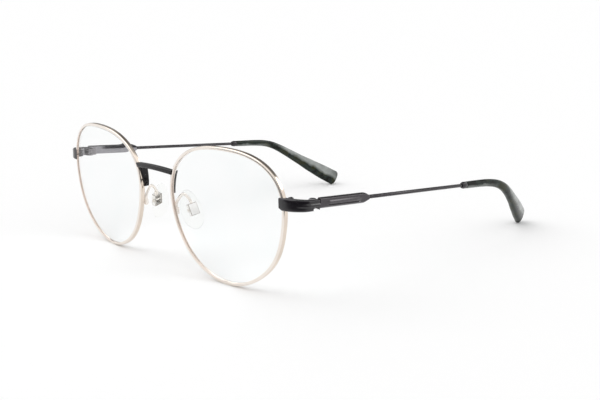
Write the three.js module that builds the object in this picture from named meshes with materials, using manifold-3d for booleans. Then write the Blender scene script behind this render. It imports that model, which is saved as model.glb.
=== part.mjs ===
// Metal eyeglass frame with wire temples, mottled acetate tips and demonstration lenses.
// Millimetres, +Z up, lens fronts towards -Y, the wearer's left side on +X.
// Everything is laid out round the middle between the two lens centres, then stood on z = 0.

import * as THREE from 'three';
import { mergeVertices } from 'three/addons/utils/BufferGeometryUtils.js';
import Module from 'manifold-3d';

const wasm = await Module();
wasm.setup();

// Clearances
const seatGap = 0.1;
const boreGap = 0.09;
const bevelGap = 0.1;
const cutOverrun = 4;

// Lens and its outline, boxed from bevel tip to bevel tip
const lensWidth = 50.15;
const lensHeight = 41.6;
const lensThickness = 1.1;
const lensBevelHeight = 0.55;
const lensBevelWidth = 0.7;
const lensBevelLand = 0.2;
const lensCurveRadius = 120;
const lensSpacing = 18.6;
const lensTiltDeg = 2.42;
const lensWrapDeg = 4.68;
// Cosine and sine shares of the half widths, harmonic by harmonic round the lens
const outlineMeanShare = 1.0092;
const outlineShares = [
  [0.0045, 0.0432],
  [-0.0044, 0.0112],
  [-0.0041, 0.0417],
  [-0.0188, -0.0038],
  [-0.0029, -0.0028],
  [-0.0031, -0.0022],
];
const lensRingShares = [0.35, 0.72];

// Eyewire, a rolled channel round each lens
const rimGrooveDepth = 0.44;
const rimGrooveWidth = 0.9;
const rimGrooveFloor = 0.4;
const rimWall = 0.51;
const rimDepth = 1.4;
const rimEdge = 0.24;
const rimStations = 72;

// Closing block, two halves behind the end piece with one screw
const lockRise = 7.5;
const lockSplit = 0.3;
const lockHalfHeight = 1.05;
const lockReach = 1.5;
const lockLap = 0.55;
const lockDepth = 1.4;
const lockFrontRound = 0.75;
const lockRearRound = 0.4;
const lockScrewRadius = 0.42;
const lockScrewHeadRadius = 0.7;
const lockScrewHeadHeight = 0.25;
const screwSlotWidth = 0.22;
const screwSlotDepth = 0.18;
const screwTipShare = 0.8;
const screwDomeShare = 0.4;
const screwSides = 16;
const boreSides = 12;

// Bridge bar with a leg down the nose side of each rim
const bridgeHeight = 1.6;
const bridgeDepth = 1.7;
const bridgeEdge = 0.35;
const bridgeEndDeg = 151.7;
const bridgeArch = 0.5;
const bridgeBow = 0.45;
const bridgeStations = 12;
const legThickness = 0.55;
const legTopDeg = 153;
const legBottomDeg = 171;
const legTopRear = 2.3;
const legBottomRear = 1.85;
const legTopFront = 0.4;
const legBottomFront = 0.3;
const legSteps = 7;

// Pad arm, a bent wire from the back of the rim to the pad box
const armWireRadius = 0.48;
const armFootLength = 2;
const armFootWidth = 1.1;
const armFootDepth = 1.04;
const armFootDrop = 2.3;
const armLoopRise = 2.75;
const armLoopReach = 2.3;
const armSteps = 15;
const armSides = 8;

// Pad box, its screw and the nose pad
const padInset = 1.45;
const padBack = 6.95;
const padDrop = 2.25;
const padBoxWidth = 2.9;
const padBoxHeight = 3.9;
const padBoxDepth = 1.9;
const padBoxWall = 0.35;
const padFrontalDeg = 15;
const padSplayDeg = 14;
const padSlopeDeg = 12;
const padLength = 13;
const padWidth = 7.2;
const padThickness = 2.1;
const padCrown = 0.75;
const padBossWidth = 1.95;
const padBossHeight = 2.95;
const padBossDepth = 1.3;
const padScrewRadius = 0.35;
const padScrewHeadRadius = 0.62;
const padScrewHeadHeight = 0.35;
const padBackShare = 0.93;
// Domed side of the pad: outline kept, then rise over the dome
const padDomeShares = [
  [1, 0],
  [0.98, 0.4],
  [0.84, 0.72],
  [0.5, 0.94],
];
const padSides = 20;

// End piece, wrapped from the front of the rim round to the hinge
const endFrontHeight = 3.7;
const endRearHeight = 3.2;
const endFrontDrop = 0.05;
const endThickness = 1.45;
const endEdge = 0.3;
const endFrontProud = 0.5;
const endFrontLap = 1.15;
const endLapCorner = 0.9;
const endBendReach = 5.3;
const endBendDepth = 4.4;
const endSteps = 9;
const endRearCut = 0.45;
const endRearCutLength = 1.2;

// Hinge, three knuckles on one screw, a little below the middle of the temple
const hingeOut = 3.7;
const hingeBack = 7.1;
const hingeDrop = 0.5;
const hingeBarrelRadius = 1.25;
const hingeBoreRadius = 0.75;
const hingeLeafThickness = 0.6;
const hingeLeafLength = 3;
const hingeLeafSetback = 1.45;
const hingeHeight = 2.6;
const hingeKnuckleHeight = 1.1;
const hingeKnuckleGap = 0.06;
const hingeScrewHeadRadius = 0.95;
const hingeScrewHeadHeight = 0.25;
const buttGap = 0.25;

// Temple block, the flat front of each temple with its raised ridge
const templeDropDeg = 5.08;
const templeToeDeg = 2.515;
const blockHeight = 3.1;
const blockThickness = 1.45;
const blockLength = 20.2;
const blockPoint = 2.4;
const blockPointHeight = 1.5;
const blockEdge = 0.3;
const ridgeHeight = 0.35;
const ridgeProud = 0.3;
const ridgeSlope = 0.45;
const ridgeStart = 4.2;
const ridgeLength = 12;
const ridgeRun = 1.2;

// Temple wire and the acetate tip over its end
const wireRadius = 0.58;
const wireSocket = 3;
const wireLength = 45.2;
const coreRadius = 0.5;
const coreLength = 36;
const coreWallGap = 0.12;
const collarLength = 2.3;
const collarHeight = 2.3;
const collarWidth = 2;
const collarNeckShare = 0.8;
const tipStraight = 6.2;
const tipPull = 16.8;
const tipTurnLength = 13.8;
const tipTurnDrop = 2.1;
const tipTurnSide = 2;
const tipLength = 41.9;
const tipDrop = 16.48;
const tipInset = 9.9;
const tipStartHeight = 2.3;
const tipEndHeight = 6.3;
const tipStartWidth = 2.1;
const tipEndWidth = 2.9;
const tipEndRound = 1.6;
const tipStraightSteps = 2;
const tipBendSteps = 15;
const tipSides = 12;
const tipSquareness = 0.8;
// Growth of the tip from its start size to its end size, at even steps along it
const tipGrowthShares = [0, 0.02, 0.07, 0.15, 0.28, 0.46, 0.75, 0.96, 1];
// Rounding of the tip's end: how far before the end, then height and width kept
const tipRoundShares = [
  [0.45, 0.93, 0.9],
  [0.12, 0.8, 0.74],
  [0, 0.6, 0.5],
];

const radians = THREE.MathUtils.degToRad;
const fullTurn = Math.PI + Math.PI;

const roseGold = { color: 0xe0b8a0, roughness: 0.2, metalness: 1 };
const blackMetal = { color: 0x28262a, roughness: 0.42, metalness: 0.6 };
const clearLens = { color: 0xf4f8fa, roughness: 0.05, metalness: 0 };
const clearSilicone = { color: 0xeeeeec, roughness: 0.35, metalness: 0 };
const paleSteel = { color: 0xcfc8c2, roughness: 0.28, metalness: 1 };
const mottledAcetate = { color: 0x4a4a34, roughness: 0.22, metalness: 0 };

// Sizes and places that follow from the ones above
const rimCentreOffset = bevelGap + (rimWall - rimGrooveDepth) / 2;
const rimOuterOffset = bevelGap + rimWall;
const rimInnerOffset = bevelGap - rimGrooveDepth;
const rimHalfDepth = rimDepth / 2;
const lensCentreX = (lensWidth + lensSpacing) / 2;
const blockInner = hingeBarrelRadius + seatGap / 2;
const blockOuter = blockInner + blockThickness;
const wireOut = blockInner + wireRadius;
const blockStart = buttGap + buttGap;
const blockEnd = blockStart + blockLength;
const collarStart = blockEnd + wireLength;
const tipStart = collarStart + collarLength + seatGap;
const lockMiddle = lockSplit / 2 + lockHalfHeight / 2;

function addMesh(parent, name, geometry, finish) {
  const mesh = new THREE.Mesh(geometry, new THREE.MeshStandardMaterial(finish));
  mesh.name = name;
  parent.add(mesh);
  return mesh;
}

// Solids made from rings of points

function capTriangles(ring, first, rising) {
  const normal = new THREE.Vector3();
  for (let i = 0; i < ring.length; i += 1) {
    const a = ring[i];
    const b = ring[(i + 1) % ring.length];
    normal.x += (a.y - b.y) * (a.z + b.z);
    normal.y += (a.z - b.z) * (a.x + b.x);
    normal.z += (a.x - b.x) * (a.y + b.y);
  }
  normal.normalize();
  const across = new THREE.Vector3().subVectors(ring[1], ring[0]);
  across.addScaledVector(normal, -across.dot(normal)).normalize();
  const along = new THREE.Vector3().crossVectors(normal, across);
  const flat = ring.map((p) => new THREE.Vector2(p.dot(across), p.dot(along)));
  return THREE.ShapeUtils.triangulateShape(flat, []).map(([a, b, c]) => {
    const turn = flat[b].clone().sub(flat[a]).cross(flat[c].clone().sub(flat[a]));
    const keeps = turn > 0 === rising;
    return keeps ? [first + a, first + b, first + c] : [first + a, first + c, first + b];
  });
}

function ringSolid(rings, looped = false) {
  const count = rings[0].length;
  const triangles = [];
  const spans = looped ? rings.length : rings.length - 1;
  for (let r = 0; r < spans; r += 1) {
    const low = r * count;
    const high = ((r + 1) % rings.length) * count;
    for (let i = 0; i < count; i += 1) {
      const j = (i + 1) % count;
      triangles.push([low + i, low + j, high + j], [low + i, high + j, high + i]);
    }
  }
  if (!looped) {
    triangles.push(...capTriangles(rings[0], 0, false));
    triangles.push(...capTriangles(rings[rings.length - 1], spans * count, true));
  }
  const points = rings.flat();
  let volume = 0;
  for (const [a, b, c] of triangles) {
    volume += points[a].dot(new THREE.Vector3().crossVectors(points[b], points[c]));
  }
  const facing = volume > 0 ? triangles : triangles.map(([a, b, c]) => [a, c, b]);
  const geometry = new THREE.BufferGeometry();
  geometry.setAttribute('position', new THREE.Float32BufferAttribute(points.flatMap((p) => [p.x, p.y, p.z]), 3));
  geometry.setIndex(facing.flat());
  geometry.computeVertexNormals();
  return geometry;
}

function placeRing(centre, side, up, section) {
  return section.map(([x, y]) => centre.clone().addScaledVector(side, x).addScaledVector(up, y));
}

function ovalSection(width, height, sides, squareness = 1) {
  return Array.from({ length: sides }, (_, i) => {
    const angle = ((i + 0.5) / sides) * fullTurn;
    const c = Math.cos(angle);
    const s = Math.sin(angle);
    return [
      (Math.sign(c) * Math.abs(c) ** squareness * width) / 2,
      (Math.sign(s) * Math.abs(s) ** squareness * height) / 2,
    ];
  });
}

function edgedSection(width, height, edge) {
  const x = width / 2;
  const y = height / 2;
  return [
    [edge - x, -y], [x - edge, -y], [x, edge - y], [x, y - edge],
    [x - edge, y], [edge - x, y], [-x, y - edge], [-x, edge - y],
  ];
}

// Frames carried along a path without twist, the up direction kept as near as can be
function pathFrames(points, up) {
  const frames = [];
  let carried = up.clone();
  points.forEach((point, i) => {
    const before = points[Math.max(i - 1, 0)];
    const after = points[Math.min(i + 1, points.length - 1)];
    const ahead = after.clone().sub(before).normalize();
    carried = carried.clone().addScaledVector(ahead, -carried.dot(ahead)).normalize();
    frames.push({ point, ahead, up: carried, side: new THREE.Vector3().crossVectors(ahead, carried) });
  });
  return frames;
}

// Joins and cuts

function toManifold(geometry) {
  const bare = geometry.clone();
  bare.deleteAttribute('normal');
  bare.deleteAttribute('uv');
  const merged = mergeVertices(bare);
  return new wasm.Manifold(new wasm.Mesh({
    numProp: 3,
    vertProperties: new Float32Array(merged.attributes.position.array),
    triVerts: new Uint32Array(merged.index.array),
  }));
}

function fromManifold(solid) {
  const mesh = solid.getMesh();
  const geometry = new THREE.BufferGeometry();
  geometry.setAttribute('position', new THREE.Float32BufferAttribute(Array.from(mesh.vertProperties), 3));
  geometry.setIndex(Array.from(mesh.triVerts));
  geometry.computeVertexNormals();
  return geometry;
}

function join(...geometries) {
  return fromManifold(geometries.map(toManifold).reduce((whole, piece) => whole.add(piece)));
}

function cut(geometry, ...cutters) {
  return fromManifold(cutters.map(toManifold).reduce((whole, cutter) => whole.subtract(cutter), toManifold(geometry)));
}

function boxAt(width, depth, height, x, y, z) {
  return new THREE.BoxGeometry(width, depth, height).translate(x, y, z);
}

// Slotted screw standing along Z: shank from bottom to the seat, head above it
function screw(shankRadius, bottom, seat, headRadius, headHeight, slotWidth, slotDepth) {
  const top = seat + headHeight;
  const profile = [
    [0, bottom], [shankRadius * screwTipShare, bottom],
    [shankRadius, bottom + shankRadius * (1 - screwTipShare)], [shankRadius, seat], [headRadius, seat],
    [headRadius, top - headHeight * screwDomeShare], [headRadius * screwTipShare, top], [0, top],
  ].map(([x, y]) => new THREE.Vector2(x, y));
  const body = new THREE.LatheGeometry(profile, screwSides).rotateX(Math.PI / 2);
  const slot = boxAt(headRadius * 3, slotWidth, slotDepth * 2, 0, 0, top);
  return cut(body, slot);
}

// Lens outline: the point at an angle round the lens, moved out along its normal

function outlinePoint(angle, offset) {
  let reach = outlineMeanShare;
  let slope = 0;
  outlineShares.forEach(([cosine, sine], i) => {
    const turn = (i + 1) * angle;
    reach += cosine * Math.cos(turn) + sine * Math.sin(turn);
    slope += (i + 1) * (sine * Math.cos(turn) - cosine * Math.sin(turn));
  });
  const halfWidth = lensWidth / 2;
  const halfHeight = lensHeight / 2;
  const alongU = halfWidth * (slope * Math.cos(angle) - reach * Math.sin(angle));
  const alongV = halfHeight * (slope * Math.sin(angle) + reach * Math.cos(angle));
  const length = Math.hypot(alongU, alongV);
  return {
    u: halfWidth * reach * Math.cos(angle) + (offset * alongV) / length,
    v: halfHeight * reach * Math.sin(angle) - (offset * alongU) / length,
  };
}

// Point of the front's curved surface, depth counted back from it
function lensSurface(u, v, depth) {
  return new THREE.Vector3(u, (u * u + v * v) / (2 * lensCurveRadius) + depth, v);
}

function outlineRing(offset, depth, share = 1) {
  return Array.from({ length: rimStations }, (_, i) => {
    const { u, v } = outlinePoint((i / rimStations) * fullTurn, offset);
    return lensSurface(u * share, v * share, depth);
  });
}

const lensPlace = new THREE.Matrix4().compose(
  new THREE.Vector3(lensCentreX, 0, 0),
  new THREE.Quaternion().setFromEuler(new THREE.Euler(radians(lensTiltDeg), 0, radians(lensWrapDeg), 'ZXY')),
  new THREE.Vector3(1, 1, 1),
);

// Angle round the lens at which its outline reaches a height, on the temple side
function outlineAngleAtRise(rise) {
  let low = 0;
  let high = Math.PI / 3;
  for (let i = 0; i < 40; i += 1) {
    const middle = (low + high) / 2;
    if (outlinePoint(middle, rimCentreOffset).v < rise) low = middle;
    else high = middle;
  }
  return (low + high) / 2;
}

const lockAngle = outlineAngleAtRise(lockRise);

// Eyewire: its channel section carried round the outline, open at the closing block

function rimSection() {
  const outer = rimOuterOffset;
  const inner = rimInnerOffset;
  const half = rimHalfDepth;
  return [
    [inner, -half], [outer - rimEdge, -half], [outer, rimEdge - half], [outer, half - rimEdge],
    [outer - rimEdge, half], [inner, half], [inner, rimGrooveWidth / 2],
    [inner + rimGrooveDepth, rimGrooveFloor / 2], [inner + rimGrooveDepth, -rimGrooveFloor / 2],
    [inner, -rimGrooveWidth / 2],
  ];
}

function rimGeometry() {
  const halfGap = lockSplit / 2 / (lensWidth / 2);
  const section = rimSection();
  const rings = [];
  for (let i = 0; i <= rimStations; i += 1) {
    const angle = lockAngle + halfGap + (i / rimStations) * (fullTurn - halfGap - halfGap);
    rings.push(section.map(([offset, depth]) => {
      const { u, v } = outlinePoint(angle, offset);
      return lensSurface(u, v, depth);
    }));
  }
  return ringSolid(rings);
}

// Solid that fills the rim and all inside it, grown by the seat gap, for cutting its neighbours
function rimEnvelope(front, rear) {
  const offset = rimOuterOffset + seatGap;
  const inner = -cutOverrun;
  return ringSolid([
    outlineRing(inner, front), outlineRing(offset, front), outlineRing(offset, rear), outlineRing(inner, rear),
  ]);
}

// Lens: two curved faces, a flat edge and a bevel that stands in the eyewire's groove
function lensGeometry() {
  const half = lensThickness / 2;
  const edge = -lensBevelHeight;
  const inner = lensRingShares;
  return ringSolid([
    ...inner.map((share) => outlineRing(edge, -half, share)),
    outlineRing(edge, -half),
    outlineRing(edge, -lensBevelWidth / 2),
    outlineRing(0, -lensBevelLand / 2),
    outlineRing(0, lensBevelLand / 2),
    outlineRing(edge, lensBevelWidth / 2),
    outlineRing(edge, half),
    ...inner.toReversed().map((share) => outlineRing(edge, half, share)),
  ]);
}

// Half of the closing block: seated on the rim's rear side, bored for the screw.
// X leads away from the lens, Z along the rim, Y to the rear.
const lockFront = rimHalfDepth + seatGap;
const lockScrewX = rimOuterOffset + seatGap + lockReach / 2;
const lockScrewY = lockFront + lockDepth / 2;

function lockHalfGeometry() {
  const near = rimOuterOffset + seatGap - lockLap;
  const far = near + lockLap + lockReach;
  const back = lockFront + lockDepth;
  const outline = new THREE.Shape();
  outline.moveTo(near, lockFront);
  outline.lineTo(far - lockFrontRound, lockFront);
  outline.quadraticCurveTo(far, lockFront, far, lockFront + lockFrontRound);
  outline.lineTo(far, back - lockRearRound);
  outline.quadraticCurveTo(far, back, far - lockRearRound, back);
  outline.lineTo(near, back);
  outline.closePath();
  const bore = new THREE.Path();
  bore.absarc(lockScrewX, lockScrewY, lockScrewRadius + boreGap, 0, fullTurn, true);
  outline.holes.push(bore);
  const geometry = new THREE.ExtrudeGeometry(outline, { depth: lockHalfHeight, bevelEnabled: false, curveSegments: 5 });
  return geometry.translate(0, 0, -lockHalfHeight / 2);
}

// End piece: a bar carried from the rim's front round the corner and back to the hinge.
// Built in the hinge's own frame, so that its end lies square to the temple.

const hingePlace = new THREE.Matrix4().compose(
  new THREE.Vector3(lensCentreX + lensWidth / 2 + hingeOut, hingeSetback(), lockRise),
  new THREE.Quaternion().setFromEuler(new THREE.Euler(-radians(templeDropDeg), 0, radians(templeToeDeg), 'ZXY')),
  new THREE.Vector3(1, 1, 1),
);

// Point of the front at an angle round the lens
function frontPoint(angle, offset, depth) {
  const { u, v } = outlinePoint(angle, offset);
  return lensSurface(u, v, depth).applyMatrix4(lensPlace);
}

function hingeSetback() {
  return frontPoint(lockAngle, rimCentreOffset, 0).y + hingeBack;
}

function endPieceGeometry() {
  const rimFront = frontPoint(lockAngle, rimCentreOffset, -rimHalfDepth);
  const frontMiddle = rimFront.y - endFrontProud + endThickness / 2;
  const rearMiddle = blockInner + endThickness / 2;
  const toFront = new THREE.Vector3(0, -1, 0).transformDirection(hingePlace);
  const rear = new THREE.Vector3(rearMiddle, buttGap, -hingeDrop).applyMatrix4(hingePlace);
  const bendRear = rear.clone().addScaledVector(toFront, rear.y - frontMiddle - endBendDepth);
  const frontX = rimFront.x - endFrontLap;
  const bendFrontX = bendRear.x - endBendReach - endThickness / 2;
  const frontZ = rimFront.z - endFrontDrop;
  const bendFront = new THREE.Vector3(bendFrontX, frontMiddle, frontZ);
  const bend = new THREE.CubicBezierCurve3(
    bendFront,
    bendFront.clone().setX(bendFrontX + endBendReach / 2),
    bendRear.clone().addScaledVector(toFront, endBendDepth / 2),
    bendRear,
  );
  const points = [
    new THREE.Vector3(frontX, frontMiddle, frontZ),
    new THREE.Vector3(frontX + endLapCorner, frontMiddle, frontZ),
    ...bend.getSpacedPoints(endSteps),
    rear.clone().addScaledVector(toFront, endRearCutLength),
    rear,
  ];
  const hingeUp = new THREE.Vector3(0, 0, 1).transformDirection(hingePlace);
  const frames = pathFrames(points, new THREE.Vector3(0, 0, 1));
  const rings = frames.map(({ point, ahead }, i) => {
    const share = i / (frames.length - 1);
    const up = new THREE.Vector3(0, 0, 1).lerp(hingeUp, share).normalize();
    const out = new THREE.Vector3().crossVectors(ahead, up).normalize();
    const ridge = ridgeProud * Math.max(0, share * 2 - 1);
    const height = endFrontHeight + (endRearHeight - endFrontHeight) * share * share;
    const section = ridgedSection(height, endThickness, endEdge, ridge);
    const corner = i === 0 ? 1 - endLapCorner / endFrontHeight : 1;
    return placeRing(point, out, up, section.map(([x, z]) => [x, z < 0 ? z * corner : z]));
  });
  const bar = ringSolid(rings);
  const envelope = rimEnvelope(-rimHalfDepth - seatGap, rimHalfDepth + cutOverrun).applyMatrix4(lensPlace);
  const rearCut = boxAt(cutOverrun * 2, cutOverrun, endRearCut * 2, 0, 0, 0);
  rearCut.rotateX(-Math.atan2(endRearCut, endRearCutLength));
  rearCut.translate(rearMiddle, buttGap, -hingeDrop - endRearHeight / 2 - endRearCut / 2).applyMatrix4(hingePlace);
  return cut(bar, envelope, rearCut);
}

// Bar section with a raised ridge along the middle of its outer side
function ridgedSection(height, thickness, edge, proud) {
  const x = thickness / 2;
  const y = height / 2;
  const flank = ridgeHeight / 2 + ridgeSlope;
  return [
    [-x, -y], [x - edge, -y], [x, edge - y], [x, -flank], [x + proud, -ridgeHeight / 2],
    [x + proud, ridgeHeight / 2], [x, flank], [x, y - edge], [x - edge, y], [-x, y],
  ];
}

// Hinge leaf: plate along the wall with its knuckles round the axis, in bands of height.
// The plate leads to +Y for the temple's leaf and to -Y for the end piece's.

function leafOutline() {
  const outer = hingeBarrelRadius;
  const inner = outer - hingeLeafThickness;
  const foot = Math.sqrt(outer * outer - inner * inner);
  const outline = new THREE.Shape();
  outline.moveTo(outer, 0);
  outline.lineTo(outer, hingeLeafSetback + hingeLeafThickness);
  outline.lineTo(inner, hingeLeafSetback + hingeLeafThickness);
  outline.lineTo(inner, foot);
  outline.absarc(0, 0, outer, Math.atan2(foot, inner), fullTurn, false);
  const bore = new THREE.Path();
  bore.absarc(0, 0, hingeBoreRadius, 0, fullTurn, true);
  outline.holes.push(bore);
  return outline;
}

function knuckle(bottom, height) {
  const geometry = new THREE.ExtrudeGeometry(leafOutline(), { depth: height, bevelEnabled: false, curveSegments: 10 });
  return geometry.translate(0, 0, bottom);
}

function leafPlate() {
  const length = hingeLeafLength - hingeLeafSetback;
  const x = hingeBarrelRadius - hingeLeafThickness / 2;
  return boxAt(hingeLeafThickness, length, hingeHeight, x, hingeLeafSetback + length / 2, 0);
}

function templeLeafGeometry() {
  return join(leafPlate(), knuckle(-hingeKnuckleHeight / 2, hingeKnuckleHeight));
}

function frontLeafGeometry() {
  const bottom = hingeKnuckleHeight / 2 + hingeKnuckleGap;
  const height = hingeHeight / 2 - bottom;
  const leaf = join(leafPlate(), knuckle(bottom, height), knuckle(-bottom - height, height));
  return leaf.rotateX(Math.PI);
}

// Temple block: ridged bar drawn to a blunt point, socketed for the wire.
// The temple frame has Y back along the temple, Z up, X outward, and the hinge axis at its origin.

function blockGeometry() {
  const middle = blockInner + blockThickness / 2;
  const ridgeEnd = ridgeStart + ridgeLength;
  const pointStart = blockEnd - blockPoint;
  const stations = [
    [blockStart, blockHeight - blockEdge, 0], [blockStart + blockEdge, blockHeight, 0],
    [ridgeStart - ridgeRun, blockHeight, 0], [ridgeStart, blockHeight, ridgeProud],
    [ridgeEnd, blockHeight, ridgeProud], [ridgeEnd + ridgeRun, blockHeight, 0],
    [pointStart, blockHeight, 0], [blockEnd, blockPointHeight, 0],
  ];
  const side = new THREE.Vector3(1, 0, 0);
  const up = new THREE.Vector3(0, 0, 1);
  const rings = stations.map(([y, height, proud]) => {
    const section = ridgedSection(blockHeight, blockThickness, blockEdge, proud);
    const share = height / blockHeight;
    return placeRing(new THREE.Vector3(middle, y, 0), side, up, section.map(([x, z]) => [x, z * share]));
  });
  const socket = new THREE.CylinderGeometry(wireRadius + boreGap, wireRadius + boreGap, wireSocket * 2, boreSides);
  socket.translate(wireOut, blockEnd, 0);
  return cut(ringSolid(rings), socket);
}

// Path of the temple tip, shared by its acetate, its bore and the wire's core

function tipStationPoints() {
  const bendStart = tipStart + tipStraight;
  const bend = new THREE.CubicBezierCurve3(
    new THREE.Vector3(wireOut, bendStart, 0),
    new THREE.Vector3(wireOut, bendStart + tipPull, 0),
    new THREE.Vector3(wireOut + tipTurnSide, bendStart + tipTurnLength, -tipTurnDrop),
    new THREE.Vector3(wireOut - tipInset, bendStart + tipLength, -tipDrop),
  );
  const straight = Array.from({ length: tipStraightSteps }, (_, i) => (
    new THREE.Vector3(wireOut, tipStart + (i / tipStraightSteps) * tipStraight, 0)
  ));
  return [...straight, ...bend.getSpacedPoints(tipBendSteps)];
}

function shareAt(table, share) {
  const place = share * (table.length - 1);
  const low = Math.min(Math.floor(place), table.length - 2);
  return table[low] + (table[low + 1] - table[low]) * (place - low);
}

function tipFrames() {
  const frames = pathFrames(tipStationPoints(), new THREE.Vector3(0, 0, 1));
  let travelled = 0;
  frames.forEach((frame, i) => {
    if (i > 0) travelled += frame.point.distanceTo(frames[i - 1].point);
    frame.travelled = travelled;
  });
  return frames;
}

function coreFrames(frames) {
  return frames.filter(({ travelled }) => travelled <= coreLength);
}

function tipGeometry() {
  const frames = tipFrames();
  const last = frames[frames.length - 1];
  const total = last.travelled;
  const sized = (frame, travelled, keepHeight = 1, keepWidth = 1) => {
    const growth = shareAt(tipGrowthShares, Math.min(travelled / total, 1));
    const height = tipStartHeight + (tipEndHeight - tipStartHeight) * growth;
    const width = tipStartWidth + (tipEndWidth - tipStartWidth) * growth;
    return placeRing(frame.point, frame.side, frame.up,
      ovalSection(width * keepWidth, height * keepHeight, tipSides, tipSquareness));
  };
  const bore = coreFrames(frames).map(({ point, side, up }) => (
    placeRing(point, side, up, ovalSection((coreRadius + coreWallGap) * 2, (coreRadius + coreWallGap) * 2, tipSides))
  ));
  const body = frames.slice(0, -1).map((frame) => sized(frame, frame.travelled));
  const before = frames[frames.length - 2];
  const rounding = tipRoundShares.map(([back, height, width]) => {
    const point = last.point.clone().addScaledVector(last.ahead, -back * tipEndRound);
    return sized({ ...last, point }, total - back * tipEndRound, height, width);
  });
  const shoulder = last.point.clone().addScaledVector(last.ahead, -tipEndRound);
  const whole = shoulder.distanceTo(before.point) > tipEndRound / 2 ? [sized({ ...last, point: shoulder }, total - tipEndRound)] : [];
  return ringSolid([...bore.toReversed(), ...body, ...whole, ...rounding]);
}

// Temple wire: from its socket in the block, through the collar and on as the tip's core
function wireGeometry() {
  const front = blockEnd - wireSocket + seatGap;
  const straight = [
    [front, wireRadius], [(front + collarStart) / 2, wireRadius], [collarStart - collarLength, wireRadius],
    [collarStart - seatGap, coreRadius],
  ].map(([y, radius]) => placeRing(
    new THREE.Vector3(wireOut, y, 0), new THREE.Vector3(1, 0, 0), new THREE.Vector3(0, 0, 1),
    ovalSection(radius * 2, radius * 2, tipSides),
  ));
  const core = coreFrames(tipFrames()).slice(0, -1).map(({ point, side, up }) => (
    placeRing(point, side, up, ovalSection(coreRadius * 2, coreRadius * 2, tipSides))
  ));
  return ringSolid([...straight, ...core]);
}

// Collar round the wire, against the front of the tip
function collarGeometry() {
  const bore = (coreRadius + boreGap) * 2;
  const ring = (y, width, height) => placeRing(
    new THREE.Vector3(wireOut, y, 0), new THREE.Vector3(1, 0, 0), new THREE.Vector3(0, 0, 1),
    ovalSection(width, height, tipSides),
  );
  const end = collarStart + collarLength;
  const neck = collarLength / 3;
  return ringSolid([
    ring(collarStart, bore, bore), ring(end, bore, bore), ring(end, collarWidth, collarHeight),
    ring(collarStart + neck, collarWidth, collarHeight),
    ring(collarStart, collarWidth * collarNeckShare, collarHeight * collarNeckShare),
  ], true);
}

// Nose pad and what carries it. In the pad's frame X leads from the nose to the box,
// Z is the pad's length and Y its width.

const padPlace = new THREE.Matrix4().compose(
  new THREE.Vector3(lensSpacing / 2 + padInset, padBack, -padDrop),
  new THREE.Quaternion().setFromEuler(
    new THREE.Euler(radians(padSlopeDeg), -radians(padFrontalDeg), -radians(padSplayDeg), 'ZYX'),
  ),
  new THREE.Vector3(1, 1, 1),
);
const padBoxNear = -padBoxDepth / 2;
const padScrewX = padBoxNear + padBoxDepth / 2 - padBoxWall / 2;

function padBoxGeometry() {
  const outer = boxAt(padBoxDepth, padBoxWidth, padBoxHeight, 0, 0, 0);
  const hollow = boxAt(
    padBoxDepth, padBoxWidth - padBoxWall * 2, padBoxHeight - padBoxWall * 2, -padBoxWall, 0, 0,
  );
  const bore = new THREE.CylinderGeometry(padScrewRadius + boreGap, padScrewRadius + boreGap, padBoxWidth * 2, boreSides);
  bore.translate(padScrewX, 0, 0);
  return cut(outer, hollow, bore);
}

function padGeometry() {
  const back = padBoxNear - seatGap;
  const ring = (share, lift) => Array.from({ length: padSides }, (_, i) => {
    const angle = (i / padSides) * fullTurn;
    return new THREE.Vector3(
      back - lift, (padWidth / 2) * share * Math.cos(angle), (padLength / 2) * share * Math.sin(angle),
    );
  });
  const lens = ringSolid([ring(padBackShare, 0), ...padDomeShares.map(([share, rise]) => (
    ring(share, padThickness - padCrown - padCrown + rise * (padCrown + padCrown))
  ))]);
  const boss = boxAt(
    padBossDepth + padThickness / 2, padBossWidth, padBossHeight,
    back + (padBossDepth - padThickness / 2) / 2, 0, 0,
  );
  const bore = new THREE.CylinderGeometry(padScrewRadius + boreGap, padScrewRadius + boreGap, padBoxWidth * 2, boreSides);
  bore.translate(padScrewX, 0, 0);
  return cut(join(lens, boss), bore);
}

function padScrewGeometry() {
  const geometry = screw(
    padScrewRadius, -padBoxWidth / 2, padBoxWidth / 2 + seatGap, padScrewHeadRadius, padScrewHeadHeight,
    screwSlotWidth, screwSlotDepth,
  );
  return geometry.rotateX(Math.PI / 2).translate(padScrewX, 0, 0);
}

function padArmGeometry() {
  const { u } = outlinePoint(Math.PI, rimCentreOffset);
  const footTop = new THREE.Vector3(u, u * u / (2 * lensCurveRadius) + rimHalfDepth + seatGap + armFootDepth / 2, -armFootDrop);
  footTop.applyMatrix4(lensPlace);
  const boxTop = new THREE.Vector3(0, 0, padBoxHeight / 2 + seatGap).applyMatrix4(padPlace);
  const boxAbove = new THREE.Vector3(0, 0, padBoxHeight / 2 + armFootLength / 2).applyMatrix4(padPlace);
  const apex = footTop.clone().add(new THREE.Vector3(armWireRadius / 2, armLoopReach, armFootDrop + armLoopRise));
  const path = new THREE.CatmullRomCurve3([
    footTop.clone().add(new THREE.Vector3(0, 0, -armFootLength / 2)),
    footTop,
    footTop.clone().add(new THREE.Vector3(-armWireRadius / 2, 0, armFootDrop)),
    apex,
    boxAbove,
    boxTop,
  ], false, 'centripetal');
  const frames = pathFrames(path.getSpacedPoints(armSteps), new THREE.Vector3(1, 0, 0));
  const wire = ringSolid(frames.map(({ point, side, up }) => (
    placeRing(point, side, up, ovalSection(armWireRadius * 2, armWireRadius * 2, armSides))
  )));
  const foot = boxAt(armFootWidth, armFootDepth, armFootLength, footTop.x, footTop.y, footTop.z);
  return join(wire, foot);
}

// Bridge: arched bar between the rims and a leg down the nose side of each

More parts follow.
